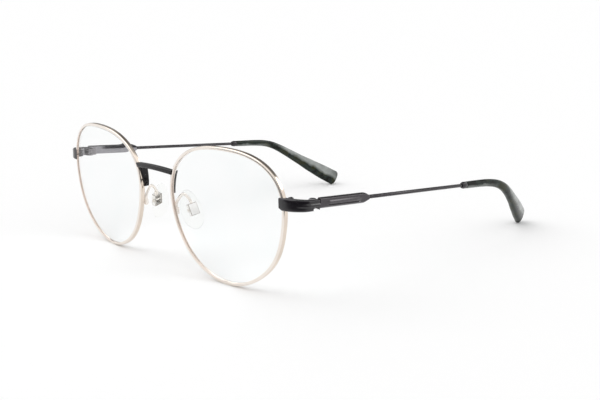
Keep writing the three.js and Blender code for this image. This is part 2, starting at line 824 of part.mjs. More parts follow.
function bridgeGeometry() {
  const end = frontPoint(radians(bridgeEndDeg), rimInnerOffset, 0);
  const path = new THREE.QuadraticBezierCurve3(
    new THREE.Vector3(-end.x, end.y, end.z),
    new THREE.Vector3(0, end.y - bridgeBow * 2, end.z + bridgeArch * 2),
    end,
  );
  const frames = pathFrames(path.getSpacedPoints(bridgeStations), new THREE.Vector3(0, 0, 1));
  const bar = ringSolid(frames.map(({ point, side, up }) => (
    placeRing(point, side, up, edgedSection(bridgeDepth, bridgeHeight, bridgeEdge))
  )));
  const mirror = new THREE.Matrix4().makeScale(-1, 1, 1).multiply(lensPlace);
  const sides = [lensPlace, mirror];
  const legs = sides.map((place) => {
    const rings = Array.from({ length: legSteps + 1 }, (_, i) => {
      const share = i / legSteps;
      const angle = radians(legTopDeg + share * (legBottomDeg - legTopDeg));
      const rear = legTopRear + (legBottomRear - legTopRear) * share;
      const front = -legTopFront + (legTopFront + legBottomFront) * share * share * (3 - 2 * share);
      const near = rimOuterOffset + seatGap;
      return [[near, front], [near + legThickness, front], [near + legThickness, rear], [near, rear]]
        .map(([offset, depth]) => {
          const { u, v } = outlinePoint(angle, offset);
          return lensSurface(u, v, depth).applyMatrix4(place);
        });
    });
    return ringSolid(rings);
  });
  const envelopes = sides.map((place) => {
    const envelope = rimEnvelope(-cutOverrun, cutOverrun).applyMatrix4(place);
    return place === mirror ? turnedOut(envelope) : envelope;
  });
  return cut(join(bar, ...legs), ...envelopes);
}

// A mirrored surface faces inward until its triangles are turned round
function turnedOut(geometry) {
  const index = geometry.index.array;
  for (let i = 0; i < index.length; i += 3) [index[i + 1], index[i + 2]] = [index[i + 2], index[i + 1]];
  return geometry;
}

// One side of the frame, the wearer's left; the other is its mirror image

function buildSide(name) {
  const side = new THREE.Group();

  const front = new THREE.Group();
  front.applyMatrix4(lensPlace);
  side.add(front);
  addMesh(front, `rim_${name}`, rimGeometry(), roseGold);
  addMesh(front, `lens_${name}`, lensGeometry(), clearLens);

  const lock = new THREE.Group();
  const at = outlinePoint(lockAngle, 0);
  const ahead = outlinePoint(lockAngle, 1);
  lock.position.copy(lensSurface(at.u, at.v, 0));
  lock.rotation.y = -Math.atan2(ahead.v - at.v, ahead.u - at.u);
  front.add(lock);
  addMesh(lock, `lock_upper_${name}`, lockHalfGeometry(), blackMetal).position.z = lockMiddle;
  addMesh(lock, `lock_lower_${name}`, lockHalfGeometry(), blackMetal).position.z = -lockMiddle;
  const lockEnd = lockSplit / 2 + lockHalfHeight;
  const lockScrew = addMesh(lock, `lock_screw_${name}`, screw(
    lockScrewRadius, -lockEnd, lockEnd + seatGap / 2, lockScrewHeadRadius, lockScrewHeadHeight,
    screwSlotWidth, screwSlotDepth,
  ), paleSteel);
  lockScrew.position.set(lockScrewX, lockScrewY, 0);

  addMesh(side, `end_piece_${name}`, endPieceGeometry(), blackMetal);

  const pad = new THREE.Group();
  pad.applyMatrix4(padPlace);
  side.add(pad);
  addMesh(pad, `pad_box_${name}`, padBoxGeometry(), paleSteel);
  addMesh(pad, `nose_pad_${name}`, padGeometry(), clearSilicone);
  addMesh(pad, `pad_screw_${name}`, padScrewGeometry(), paleSteel);
  addMesh(side, `pad_arm_${name}`, padArmGeometry(), roseGold);

  const temple = new THREE.Group();
  temple.applyMatrix4(hingePlace);
  side.add(temple);
  const hinge = new THREE.Group();
  hinge.position.z = -hingeDrop;
  temple.add(hinge);
  addMesh(hinge, `hinge_front_leaf_${name}`, frontLeafGeometry(), blackMetal);
  addMesh(hinge, `hinge_temple_leaf_${name}`, templeLeafGeometry(), blackMetal);
  addMesh(hinge, `hinge_screw_${name}`, screw(
    hingeBoreRadius - boreGap, -hingeHeight / 2, hingeHeight / 2 + seatGap / 2,
    hingeScrewHeadRadius, hingeScrewHeadHeight, screwSlotWidth, screwSlotDepth,
  ), paleSteel);
  addMesh(temple, `temple_block_${name}`, blockGeometry(), blackMetal);
  addMesh(temple, `temple_wire_${name}`, wireGeometry(), blackMetal);
  addMesh(temple, `tip_collar_${name}`, collarGeometry(), blackMetal);
  addMesh(temple, `temple_tip_${name}`, tipGeometry(), mottledAcetate);
  return side;
}

const assembly = new THREE.Group();
assembly.add(buildSide('left'));
const right = buildSide('right');
right.scale.x = -1;
assembly.add(right);
addMesh(assembly, 'bridge', bridgeGeometry(), blackMetal);

// Stand the frame on z = 0 with its box centred on the origin
const box = new THREE.Box3().setFromObject(assembly, true);
assembly.position.set(0, -(box.min.y + box.max.y) / 2, -box.min.z);

const group = new THREE.Group();
group.name = 'eyeglass_frame';
group.add(assembly);

export default group;
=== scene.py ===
"""Looks of a metal eyeglass frame with wire temples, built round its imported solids.

Sizes are in millimetres and stand in the frame's own layout: the origin is the middle
between the two lens centres, X leads to the wearer's left, Y to the rear and Z up. A point
becomes metres, and stands on the floor, only when it is put into a mesh.
"""

import logging
import math
from collections.abc import Callable, Iterator, Sequence
from contextlib import contextmanager
from dataclasses import dataclass, field
from enum import Enum

import bmesh
import bpy
from mathutils import Matrix, Vector


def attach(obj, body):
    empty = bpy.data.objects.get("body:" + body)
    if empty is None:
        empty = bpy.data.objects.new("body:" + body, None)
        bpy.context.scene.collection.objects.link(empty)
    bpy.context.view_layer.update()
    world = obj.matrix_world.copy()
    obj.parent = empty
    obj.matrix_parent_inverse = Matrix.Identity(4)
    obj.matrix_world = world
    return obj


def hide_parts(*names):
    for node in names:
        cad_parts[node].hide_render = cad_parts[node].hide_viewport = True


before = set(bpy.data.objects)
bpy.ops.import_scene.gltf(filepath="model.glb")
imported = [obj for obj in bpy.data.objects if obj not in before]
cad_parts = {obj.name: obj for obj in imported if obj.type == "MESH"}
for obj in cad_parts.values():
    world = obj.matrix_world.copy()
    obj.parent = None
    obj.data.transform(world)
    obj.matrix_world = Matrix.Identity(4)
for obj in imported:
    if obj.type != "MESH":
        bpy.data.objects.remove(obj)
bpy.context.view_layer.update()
LOG = logging.getLogger("eyeglass_frame")

MM = 0.001
MERGE = MM * 0.001
FULL_TURN = 2 * math.pi
UP = Vector((0, 0, 1))
# Move from the layout's origin to the middle of the floor under the standing frame.
STANDING = Vector((0.0, -62.9534556, 21.3488054))
SEAT_GAP = 0.1
BORE_GAP = 0.09
# Degrees beyond which an edge stays crisp, and share of a side that a rounding may take.
CRISP = 40.0
CUT_LIMIT = 0.45
GRAIN_HEIGHT = 0.00002

Point2 = tuple[float, float]
Triple = tuple[float, float, float]
Place = tuple[float, ...]
Ring = list[Vector]
Curve = Callable[[float], Vector]
Piece = bpy.types.Object
Material = bpy.types.Material
Node = bpy.types.Node
Socket = bpy.types.NodeSocket


class Side(Enum):
    """The wearer's side that a piece belongs to."""

    LEFT = "left"
    RIGHT = "right"


class Body(Enum):
    """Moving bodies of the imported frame."""

    FRONT = "front"
    TEMPLE = "temple"

    def of(self, side: Side) -> str:
        """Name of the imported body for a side."""
        return self.value if self is Body.FRONT else f"{self.value}_{side.value}"


class Slot(Enum):
    """Material slots of the record."""

    ROSE_GOLD = "rose_gold"
    BLACK_METAL = "black_metal"
    STEEL = "screw_steel"
    LENS = "demo_lens"
    SILICONE = "clear_silicone"
    ACETATE = "tortoise_acetate"


# ---------------------------------------------------------------- drawing by hand


def stand(point: Vector) -> Vector:
    """Layout millimetres to scene metres, standing on the floor."""
    return (point + STANDING) * MM


def turn_about(axis: str, degrees: float) -> Matrix:
    """Turn about an axis."""
    return Matrix.Rotation(math.radians(degrees), 4, axis)


def clear_selection() -> None:
    """Leave edit mode and deselect every object."""
    if bpy.context.mode != "OBJECT":
        bpy.ops.object.mode_set(mode="OBJECT")
    bpy.ops.object.select_all(action="DESELECT")


def pick(*pieces: Piece) -> None:
    """Select only these objects, the first of them active."""
    clear_selection()
    for piece in pieces:
        piece.select_set(True)
    bpy.context.view_layer.objects.active = pieces[0]


def named(piece: Piece, name: str) -> Piece:
    """Name an object and its mesh."""
    piece.name = piece.data.name = name
    return piece


@contextmanager
def editing(piece: Piece) -> Iterator[None]:
    """Edit mode on a piece, everything in it selected."""
    pick(piece)
    bpy.ops.object.mode_set(mode="EDIT")
    bpy.ops.mesh.select_all(action="SELECT")
    yield
    bpy.ops.object.mode_set(mode="OBJECT")


def close_skin(piece: Piece, merge: bool = False, smooth_angle: float = CRISP) -> None:
    """Merge doubles where asked, turn the faces outward and smooth the shading.

    Args:
        piece: The mesh object to finish.
        merge: Whether coincident vertices are merged first.
        smooth_angle: Edges sharper than this many degrees stay crisp.
    """
    with editing(piece):
        if merge:
            bpy.ops.mesh.remove_doubles(threshold=MERGE)
        bpy.ops.mesh.normals_make_consistent(inside=False)
    bpy.ops.object.shade_smooth_by_angle(angle=math.radians(smooth_angle))


def modify(piece: Piece, kind: str, **settings: object) -> None:
    """Add a modifier with the given settings to a piece, and apply it."""
    pick(piece)
    bpy.ops.object.modifier_add(type=kind)
    modifier = piece.modifiers[-1]
    for key, value in settings.items():
        setattr(modifier, key, value)
    bpy.ops.object.modifier_apply(modifier=modifier.name)


def soften_edges(piece: Piece, width: float, segments: int = 3, angle: float = CRISP) -> None:
    """Round the sharp edges of a piece with an applied bevel.

    Args:
        piece: The mesh object.
        width: Width of the rounding in millimetres.
        segments: Steps across the rounding.
        angle: Edges sharper than this many degrees are rounded.
    """
    modify(
        piece, "BEVEL", width=width * MM, segments=segments, limit_method="ANGLE",
        angle_limit=math.radians(angle), use_clamp_overlap=True,
    )


def combine(piece: Piece, other: Piece, operation: str) -> None:
    """Join, cut or trim a piece with another, which is then removed.

    Args:
        piece: The mesh object that stays.
        other: The mesh object that is used up.
        operation: UNION, DIFFERENCE or INTERSECT.
    """
    modify(piece, "BOOLEAN", operation=operation, solver="EXACT", object=other)
    bpy.data.objects.remove(other, do_unlink=True)


def joined(name: str, *pieces: Piece) -> Piece:
    """Join loose parts into one object, the first of which stays."""
    pick(*pieces)
    bpy.ops.object.join()
    return named(pieces[0], name)


def mirrored(piece: Piece, name: str) -> Piece:
    """Copy a left-hand piece to the right-hand side.

    Args:
        piece: The finished left-hand piece.
        name: Name of the copy.

    Returns:
        The mirrored copy with a mesh of its own, its faces turned outward again.
    """
    pick(piece)
    bpy.ops.object.duplicate()
    copy = named(bpy.context.active_object, name)
    with editing(copy):
        bpy.ops.transform.resize(value=(-1, 1, 1), center_override=(0, 0, 0))
        bpy.ops.mesh.normals_make_consistent(inside=False)
    return copy


def flipped(ring: Ring) -> Ring:
    """The same ring on the other side of the frame."""
    return [Vector((-point.x, point.y, point.z)) for point in ring]


class Loft:
    """A skin drawn ring by ring in edit mode, starting from a circle."""

    def __init__(self, name: str, ring: Ring) -> None:
        """Add the circle and pull it onto the first ring.

        Args:
            name: Name of the new object.
            ring: Points of the first ring, in layout millimetres.
        """
        clear_selection()
        bpy.ops.mesh.primitive_circle_add(vertices=len(ring), radius=MM)
        self.piece = named(bpy.context.active_object, name)
        bpy.ops.object.mode_set(mode="EDIT")
        bpy.ops.mesh.select_all(action="SELECT")
        skin = bmesh.from_edit_mesh(self.piece.data)
        self.edge = self._place(list(skin.verts), ring)
        self.start = self.edge

    def _place(self, vertices: list[bmesh.types.BMVert], ring: Ring) -> list[Place]:
        """Move vertices onto a ring and return where they came to lie."""
        for vertex, point in zip(vertices, ring, strict=True):
            vertex.co = stand(point)
        bmesh.update_edit_mesh(self.piece.data)
        return [tuple(vertex.co) for vertex in vertices]

    def grow(self, *rings: Ring) -> "Loft":
        """Extrude the open edge onto each further ring, of as many points as the first."""
        for ring in rings:
            bpy.ops.mesh.extrude_region()
            skin = bmesh.from_edit_mesh(self.piece.data)
            order = {place: i for i, place in enumerate(self.edge)}
            fresh = sorted((v for v in skin.verts if v.select), key=lambda v: order[tuple(v.co)])
            self.edge = self._place(fresh, ring)
        return self

    def _select(self, places: Sequence[Place]) -> None:
        """Select the edges between the vertices at given places."""
        bpy.ops.mesh.select_all(action="DESELECT")
        skin = bmesh.from_edit_mesh(self.piece.data)
        wanted = set(places)
        for edge in skin.edges:
            if all(tuple(vertex.co) in wanted for vertex in edge.verts):
                edge.select_set(True)
        bmesh.update_edit_mesh(self.piece.data)

    def capped(self, smooth_angle: float = CRISP) -> Piece:
        """Fill both open ends and finish the skin.

        Args:
            smooth_angle: Edges sharper than this many degrees stay crisp.

        Returns:
            The closed piece.
        """
        for places in (self.edge, self.start):
            self._select(places)
            bpy.ops.mesh.edge_face_add()
        close_skin(self.piece, smooth_angle=smooth_angle)
        return self.piece

    def looped(self, first: Ring) -> Piece:
        """Lead the skin back onto its first ring and finish it."""
        self.grow(first)
        close_skin(self.piece, merge=True)
        return self.piece


def lofted(name: str, rings: Sequence[Ring], smooth_angle: float = CRISP) -> Piece:
    """Closed piece drawn over a row of rings, its ends filled."""
    return Loft(name, rings[0]).grow(*rings[1:]).capped(smooth_angle)


def prism(name: str, outline: Sequence[Point2], low: float, high: float, place: Matrix) -> Piece:
    """Sharp-edged plate of an outline, between two heights of a place."""
    return lofted(name, [[place @ Vector((x, y, z)) for x, y in outline] for z in (low, high)])


def slab(
    name: str, outline: Sequence[Point2], low: float, high: float, place: Matrix, edge: float,
) -> Piece:
    """Flat plate of an outline, with rounded edges.

    Args:
        name: Name of the piece.
        outline: Its outline across the Z axis of the place.
        low: Height of its lower face.
        high: Height of its upper face.
        place: Where it stands in the layout.
        edge: Width of the edge rounding.

    Returns:
        The finished plate.
    """
    piece = prism(name, outline, low, high, place)
    soften_edges(piece, edge)
    close_skin(piece)
    return piece


def rectangle(x: float, y: float) -> list[Point2]:
    """Corners of a rectangle from its half sides."""
    return [(-x, -y), (x, -y), (x, y), (-x, y)]


def filleted(
    corners: Sequence[Point2], radius: float | Sequence[float], steps: int = 3,
) -> list[Point2]:
    """Round the corners of a closed outline.

    Args:
        corners: Corner points in order.
        radius: One cut-back length for all corners, or one each.
        steps: Spans across each rounded corner.

    Returns:
        The outline with each corner drawn as a short curve.
    """
    radii = [radius] * len(corners) if isinstance(radius, (int, float)) else radius
    outline: list[Point2] = []
    for i, corner in enumerate(corners):
        here = Vector(corner)
        before = Vector(corners[i - 1]) - here
        after = Vector(corners[(i + 1) % len(corners)]) - here
        start, end = (
            here + side.normalized() * min(radii[i], side.length * CUT_LIMIT)
            for side in (before, after)
        )
        for step in range(steps + 1):
            t = step / steps
            point = start * (1 - t) ** 2 + here * (2 * t * (1 - t)) + end * t**2
            outline.append((point.x, point.y))
    return outline


def oval(width: float, height: float, sides: int, squareness: float = 1.0) -> list[Point2]:
    """Oval section, drawn towards a rounded box as squareness falls below one."""
    section = []
    for i in range(sides):
        angle = (i + 0.5) / sides * FULL_TURN
        c, s = math.cos(angle), math.sin(angle)
        section.append((
            math.copysign(abs(c) ** squareness, c) * width / 2,
            math.copysign(abs(s) ** squareness, s) * height / 2,
        ))
    return section


def section_ring(centre: Vector, side: Vector, up: Vector, section: Sequence[Point2]) -> Ring:
    """Stand a flat section at a point."""
    return [centre + side * x + up * y for x, y in section]


def bezier(*controls: Vector) -> Curve:
    """Bezier curve through any number of control points."""

    def at(t: float) -> Vector:
        """Point of the curve at a parameter from zero to one."""
        row = list(controls)
        while len(row) > 1:
            row = [a.lerp(b, t) for a, b in zip(row, row[1:], strict=False)]
        return row[0]

    return at


def catmull(points: Sequence[Vector]) -> Curve:
    """Centripetal curve through every point."""
    run = [points[0] * 2 - points[1], *points, points[-1] * 2 - points[-2]]

    def at(t: float) -> Vector:
        """Point of the curve at a parameter from zero to one."""
        place = t * (len(points) - 1)
        i = min(int(place), len(points) - 2)
        a, b, c, d = run[i : i + 4]
        first, middle, last = (math.sqrt((q - p).length) for p, q in ((a, b), (b, c), (c, d)))
        leave = ((b - a) / first - (c - a) / (first + middle) + (c - b) / middle) * middle
        arrive = ((c - b) / middle - (d - b) / (middle + last) + (d - c) / last) * middle
        s = place - i
        return (
            b * (2 * s**3 - 3 * s**2 + 1) + leave * (s**3 - 2 * s**2 + s)
            + c * (3 * s**2 - 2 * s**3) + arrive * (s**3 - s**2)
        )

    return at


def evenly(curve: Curve, spans: int, samples: int = 400) -> list[Vector]:
    """Points at even distances along a curve.

    Args:
        curve: The curve as a function of a parameter from zero to one.
        spans: Number of spans between the points.
        samples: Fineness with which the curve is measured.

    Returns:
        One point more than there are spans.
    """
    fine = [curve(i / samples) for i in range(samples + 1)]
    travelled = [0.0]
    for a, b in zip(fine, fine[1:], strict=False):
        travelled.append(travelled[-1] + (b - a).length)
    points, low = [], 0
    for i in range(spans + 1):
        target = travelled[-1] * i / spans
        while low < samples - 1 and travelled[low + 1] < target:
            low += 1
        span = travelled[low + 1] - travelled[low]
        points.append(fine[low].lerp(fine[low + 1], (target - travelled[low]) / span))
    return points


@dataclass(frozen=True)
class Station:
    """A place on a path with the directions of a section that stands there."""

    point: Vector
    ahead: Vector
    side: Vector
    up: Vector
    travelled: float

    def ring(self, section: Sequence[Point2]) -> Ring:
        """A section that stands here."""
        return section_ring(self.point, self.side, self.up, section)


def carried(points: Sequence[Vector], up: Vector) -> list[Station]:
    """Directions carried along a path without twist.

    Args:
        points: The path.
        up: The up direction, kept as near as can be.

    Returns:
        A station for each point.
    """
    stations, travelled, lifted = [], 0.0, up.copy()
    for i, point in enumerate(points):
        ahead = (points[min(i + 1, len(points) - 1)] - points[max(i - 1, 0)]).normalized()
        lifted = (lifted - ahead * lifted.dot(ahead)).normalized()
        if i:
            travelled += (point - points[i - 1]).length
        stations.append(Station(point, ahead, ahead.cross(lifted), lifted, travelled))
    return stations


# ---------------------------------------------------------------- finishes


class NodeSheet:
    """Places the nodes of a material or group and joins their sockets."""

    def __init__(self, tree: bpy.types.NodeTree) -> None:
        """Start on an emptied tree."""
        self.tree = tree
        tree.nodes.clear()

    def add(self, kind: str, settings: dict[str, object] | None = None, **inputs: object) -> Node:
        """Add a node.

        Args:
            kind: Node type without its ShaderNode prefix.
            settings: Properties of the node itself.
            **inputs: Values or output sockets for its inputs, spaces written as underscores.

        Returns:
            The new node.
        """
        node = self.tree.nodes.new(kind if kind.startswith("Node") else f"ShaderNode{kind}")
        for key, value in (settings or {}).items():
            setattr(node, key, value)
        for key, value in inputs.items():
            self.feed(node, key.replace("_", " "), value)
        return node

    def feed(self, node: Node, name: str | int, value: object) -> None:
        """Set one input of a node, by a value or by an output socket."""
        socket = node.inputs[name]
        if isinstance(value, Socket):
            self.tree.links.new(value, socket)
        else:
            socket.default_value = value

    def row(self, kind: str, settings: dict[str, object], *items: object) -> Node:
        """Add a node and feed its first inputs in their order."""
        node = self.add(kind, settings)
        for i, item in enumerate(items):
            self.feed(node, i, item)
        return node

    def math(self, operation: str, a: object, b: object, clamp: bool = False) -> Socket:
        """Result of a Math node."""
        return self.row("Math", {"operation": operation, "use_clamp": clamp}, a, b).outputs[0]

    def dot(self, a: object, b: object) -> Socket:
        """Dot product of two vectors."""
        return self.row("VectorMath", {"operation": "DOT_PRODUCT"}, a, b).outputs["Value"]

    def mix(self, factor: object, a: object, b: object) -> Socket:
        """Result of a colour Mix node."""
        node = self.row("Mix", {"data_type": "RGBA"}, factor)
        self.feed(node, 6, a)
        self.feed(node, 7, b)
        return node.outputs[2]

    def ramp(self, factor: object, stops: Sequence[tuple[float, Place]]) -> Socket:
        """Colour of a ColorRamp node with the given stops."""
        node = self.row("ValToRGB", {}, factor)
        elements = node.color_ramp.elements
        elements[0].position, elements[0].color = stops[0]
        elements[1].position, elements[1].color = stops[-1]
        for position, colour in stops[1:-1]:
            elements.new(position).color = colour
        return node.outputs[0]

    def span(
        self, value: object, low: object, high: object, to_low: float = 0.0, to_high: float = 1.0,
        interpolation: str = "LINEAR",
    ) -> Socket:
        """Value mapped from one range to another."""
        settings = {"interpolation_type": interpolation}
        return self.row("MapRange", settings, value, low, high, to_low, to_high).outputs[0]


class EffectSheet(NodeSheet):
    """Shader group that turns a coordinate into heights or masks."""

    def __init__(self, name: str, inputs: dict[str, float], outputs: Sequence[str]) -> None:
        """Make the empty group.

        Args:
            name: Name of the group.
            inputs: Names and defaults of its number inputs, beside the coordinate.
            outputs: Names of its number outputs.
        """
        tree = bpy.data.node_groups.new(name, "ShaderNodeTree")
        number, add_socket = "NodeSocketFloat", tree.interface.new_socket
        add_socket("Place", in_out="INPUT", socket_type="NodeSocketVector")
        for label, value in inputs.items():
            add_socket(label, in_out="INPUT", socket_type=number).default_value = value
        for label in outputs:
            add_socket(label, in_out="OUTPUT", socket_type=number)
        super().__init__(tree)
        self.into = self.add("NodeGroupInput").outputs
        self.out = self.add("NodeGroupOutput")


class Effects:
    """Effects that several finishes share, each built once as a shader group."""

    def __init__(self) -> None:
        """Build the groups."""
        self.grain = self._grain()
        self.handling = self._handling()
        self.wear_and_highlight = self._wear_and_highlight()

    def _grain(self) -> bpy.types.NodeTree:
        """Fine directionless grain: a height and a mask of tiny flecks."""
        sheet = EffectSheet("fine_grain", {"Scale": 900.0}, ["Height", "Flecks"])
        place, scale = sheet.into["Place"], sheet.into["Scale"]
        fine = sheet.add("TexNoise", Vector=place, Scale=scale, Detail=3.0)
        sparse = sheet.add("TexVoronoi", Vector=place, Scale=scale)
        sheet.feed(sheet.out, "Height", fine.outputs[0])
        sheet.feed(sheet.out, "Flecks", sheet.span(sparse.outputs["Distance"], 0.0, 0.16, 1.0, 0.0))
        return sheet.tree

    def _handling(self) -> bpy.types.NodeTree:
        """Smears of handling: broad soft patches and hair-fine wiping marks."""
        sheet = EffectSheet("handling_marks", {}, ["Smears", "Wipes"])
        place = sheet.into["Place"]
        broad = sheet.add("TexNoise", Vector=place, Scale=120.0, Detail=2.0, Roughness=0.6)
        stretch = (300.0, 2600.0, 2600.0)
        drawn = sheet.add("Mapping", Vector=place, Scale=stretch, Rotation=(0.3, 0.5, 0.9))
        hair = sheet.add("TexNoise", Vector=drawn.outputs[0], Scale=1.0, Detail=4.0)
        sheet.feed(sheet.out, "Smears", sheet.span(broad.outputs[0], 0.42, 0.68))
        sheet.feed(sheet.out, "Wipes", sheet.span(hair.outputs[0], 0.56, 0.72))
        return sheet.tree

    def _wear_and_highlight(self) -> bpy.types.NodeTree:
        """Edges worn bright and given a painted highlight: proud edges, broken up by noise."""
        sheet = EffectSheet("worn_edges_and_highlight", {"Amount": 0.5}, ["Edges"])
        proud = sheet.span(sheet.add("NewGeometry").outputs["Pointiness"], 0.505, 0.58)
        broken = sheet.add("TexNoise", Vector=sheet.into["Place"], Scale=1400.0, Detail=4.0)
        worn = sheet.math("MULTIPLY", proud, sheet.span(broken.outputs[0], 0.35, 0.6))
        sheet.feed(sheet.out, "Edges", sheet.math("MULTIPLY", worn, sheet.into["Amount"]))
        return sheet.tree


class MaterialSheet(NodeSheet):
    """Nodes of a new material round its Principled surface."""

    def __init__(self, name: str) -> None:
        """Start the material of that name."""
        self.material = bpy.data.materials.new(name)
        self.material.use_nodes = True
        super().__init__(self.material.node_tree)
        self.surface = self.add("BsdfPrincipled")
        self.output = self.add("OutputMaterial", Surface=self.surface.outputs[0])
        self.place = self.add("TexCoord").outputs["Object"]

    def dress(self, **inputs: object) -> None:
        """Feed inputs of the surface, spaces written as underscores."""
        for key, value in inputs.items():
            self.feed(self.surface, key.replace("_", " "), value)

    def effect(self, group: bpy.types.NodeTree, **inputs: object) -> bpy.types.NodeOutputs:
        """Outputs of a shared effect, laid over the piece."""
        return self.add("Group", {"node_tree": group}, Place=self.place, **inputs).outputs

    def raise_grain(self, height: Socket, strength: float) -> None:
        """Let a height show in the surface's normal."""
        bump = self.add("Bump", Strength=strength, Distance=GRAIN_HEIGHT, Height=height)
        self.dress(Normal=bump.outputs[0])


def rgba(red: float, green: float, blue: float) -> tuple[float, float, float, float]:
    """Scene colour of an eight-bit display colour."""

    def linear(value: float) -> float:
        """Light that a display value stands for, by the sRGB curve."""
        share = value / 255
        return share / 12.92 if share <= 0.04045 else ((share + 0.055) / 1.055) ** 2.4

    return linear(red), linear(green), linear(blue), 1.0


@dataclass(frozen=True)
class ToneBand:
    """A band of another tone along a piece: where it lies, begins and ends, and how strong."""

    across: Triple
    edge: Point2
    begin: Point2
    end: Point2
    share: float

    def mask(self, sheet: NodeSheet, place: Socket) -> Socket:
        """Where the band shows.

        Args:
            sheet: The material's sheet.
            place: Object coordinates.

        Returns:
            A socket from 0 to the band's share.
        """
        raised = sheet.span(sheet.dot(place, self.across), *self.edge, 0.0, self.share)
        along = sheet.add("SeparateXYZ", Vector=place).outputs["Y"]
        begun, ended = sheet.span(along, *self.begin), sheet.span(along, *self.end, 1.0, 0.0)
        return sheet.math("MULTIPLY", raised, sheet.math("MULTIPLY", begun, ended))


@dataclass(frozen=True)
class PolishedMetal:
    """Bare or plated metal with a bright polish."""

    name: str
    colour: Triple
    shade: Triple
    roughness: float
    metal: float = 1.0
    painted_shade: ToneBand | None = None
    painted_shade_tone: Triple = (30, 28, 34)
    smear_tone: float = 0.4
    smear_dulling: float = 0.07
    wipe_dulling: float = 0.06
    grain_scale: float = 1500.0
    grain_strength: float = 0.06

    def build(self, effects: Effects) -> Material:
        """Make the material.

        Args:
            effects: The shared effect groups.

        Returns:
            The finished material.
        """
        sheet = MaterialSheet(self.name)
        marks = sheet.effect(effects.handling)
        shaded = sheet.math("MULTIPLY", marks["Smears"], self.smear_tone)
        tone = sheet.mix(shaded, rgba(*self.colour), rgba(*self.shade))
        # Painted shade: a dark band mixed into the tone where it shows.
        if self.painted_shade:
            tone = sheet.mix(self.painted_shade.mask(sheet, sheet.place), tone, rgba(*self.painted_shade_tone))
        dulled = sheet.math("MULTIPLY", marks["Smears"], self.smear_dulling)
        wiped = sheet.math("MULTIPLY", marks["Wipes"], self.wipe_dulling)
        roughness = sheet.math("ADD", sheet.math("ADD", dulled, wiped), self.roughness)
        sheet.dress(Base_Color=tone, Metallic=self.metal, Roughness=roughness)
        grain = sheet.effect(effects.grain, Scale=self.grain_scale)
        sheet.raise_grain(grain["Height"], self.grain_strength)
        return sheet.material


@dataclass(frozen=True)
class Gloss:
    """How a lacquer mirrors: its own shine, its clear coat, its metal share and its flecks."""

    roughness: float
    level: float
    coat: float
    coat_roughness: float
    metal: float
    flecks: float


@dataclass(frozen=True)
class SatinLacquer:
    """Dark lacquer on metal, satin, its proud edges worn and painted brighter as a highlight."""

    name: str
    colour: Triple
    worn_highlight_tone: Triple
    gloss: Gloss
    rubbed_metal: float = 0.9
    smear_dulling: float = 0.1
    grain_scale: float = 2200.0
    grain_strength: float = 0.08

    def build(self, effects: Effects) -> Material:
        """Make the material.

        Args:
            effects: The shared effect groups.

        Returns:
            The finished material.
        """
        sheet, gloss = MaterialSheet(self.name), self.gloss
        marks = sheet.effect(effects.handling)
        grain = sheet.effect(effects.grain, Scale=self.grain_scale)
        edges = sheet.effect(effects.wear_and_highlight)["Edges"]
        # Flecks, and proud edges both worn and painted as a highlight, take the brighter tone.
        shown = sheet.math("MAXIMUM", sheet.math("MULTIPLY", grain["Flecks"], gloss.flecks), edges)
        dulled = sheet.math("MULTIPLY", marks["Smears"], self.smear_dulling)
        sheet.dress(
            Base_Color=sheet.mix(shown, rgba(*self.colour), rgba(*self.worn_highlight_tone)),
            Metallic=sheet.span(edges, 0.0, 1.0, gloss.metal, self.rubbed_metal),
            Roughness=sheet.math("ADD", dulled, gloss.roughness),
            Specular_IOR_Level=gloss.level,
            Coat_Weight=gloss.coat,
            Coat_Roughness=gloss.coat_roughness,
        )
        sheet.raise_grain(grain["Height"], self.grain_strength)
        return sheet.material


@dataclass(frozen=True)
class ClearGlass:
    """See-through lens or soft silicone."""

    name: str
    tint: Triple
    shade: Triple
    roughness: float
    index: float
    haze: float
    coat: float

    def build(self, effects: Effects) -> Material:
        """Make the material.

        Args:
            effects: The shared effect groups.

        Returns:
            The finished material, which lets lamp light through unbent.
        """
        sheet = MaterialSheet(self.name)
        smears = sheet.effect(effects.handling)["Smears"]
        clouded = sheet.math("MULTIPLY", smears, self.haze)
        sheet.dress(
            Base_Color=sheet.mix(smears, rgba(*self.tint), rgba(*self.shade)),
            Roughness=sheet.math("ADD", clouded, self.roughness),
            Transmission_Weight=1.0,
            IOR=self.index,
            Coat_Weight=self.coat,
        )
        lamp = sheet.add("LightPath").outputs["Is Shadow Ray"]
        through = sheet.add("BsdfTransparent", Color=rgba(*self.tint)).outputs[0]
        passed = sheet.row("MixShader", {}, lamp, sheet.surface.outputs[0], through)
        sheet.feed(sheet.output, "Surface", passed.outputs[0])
        return sheet.material


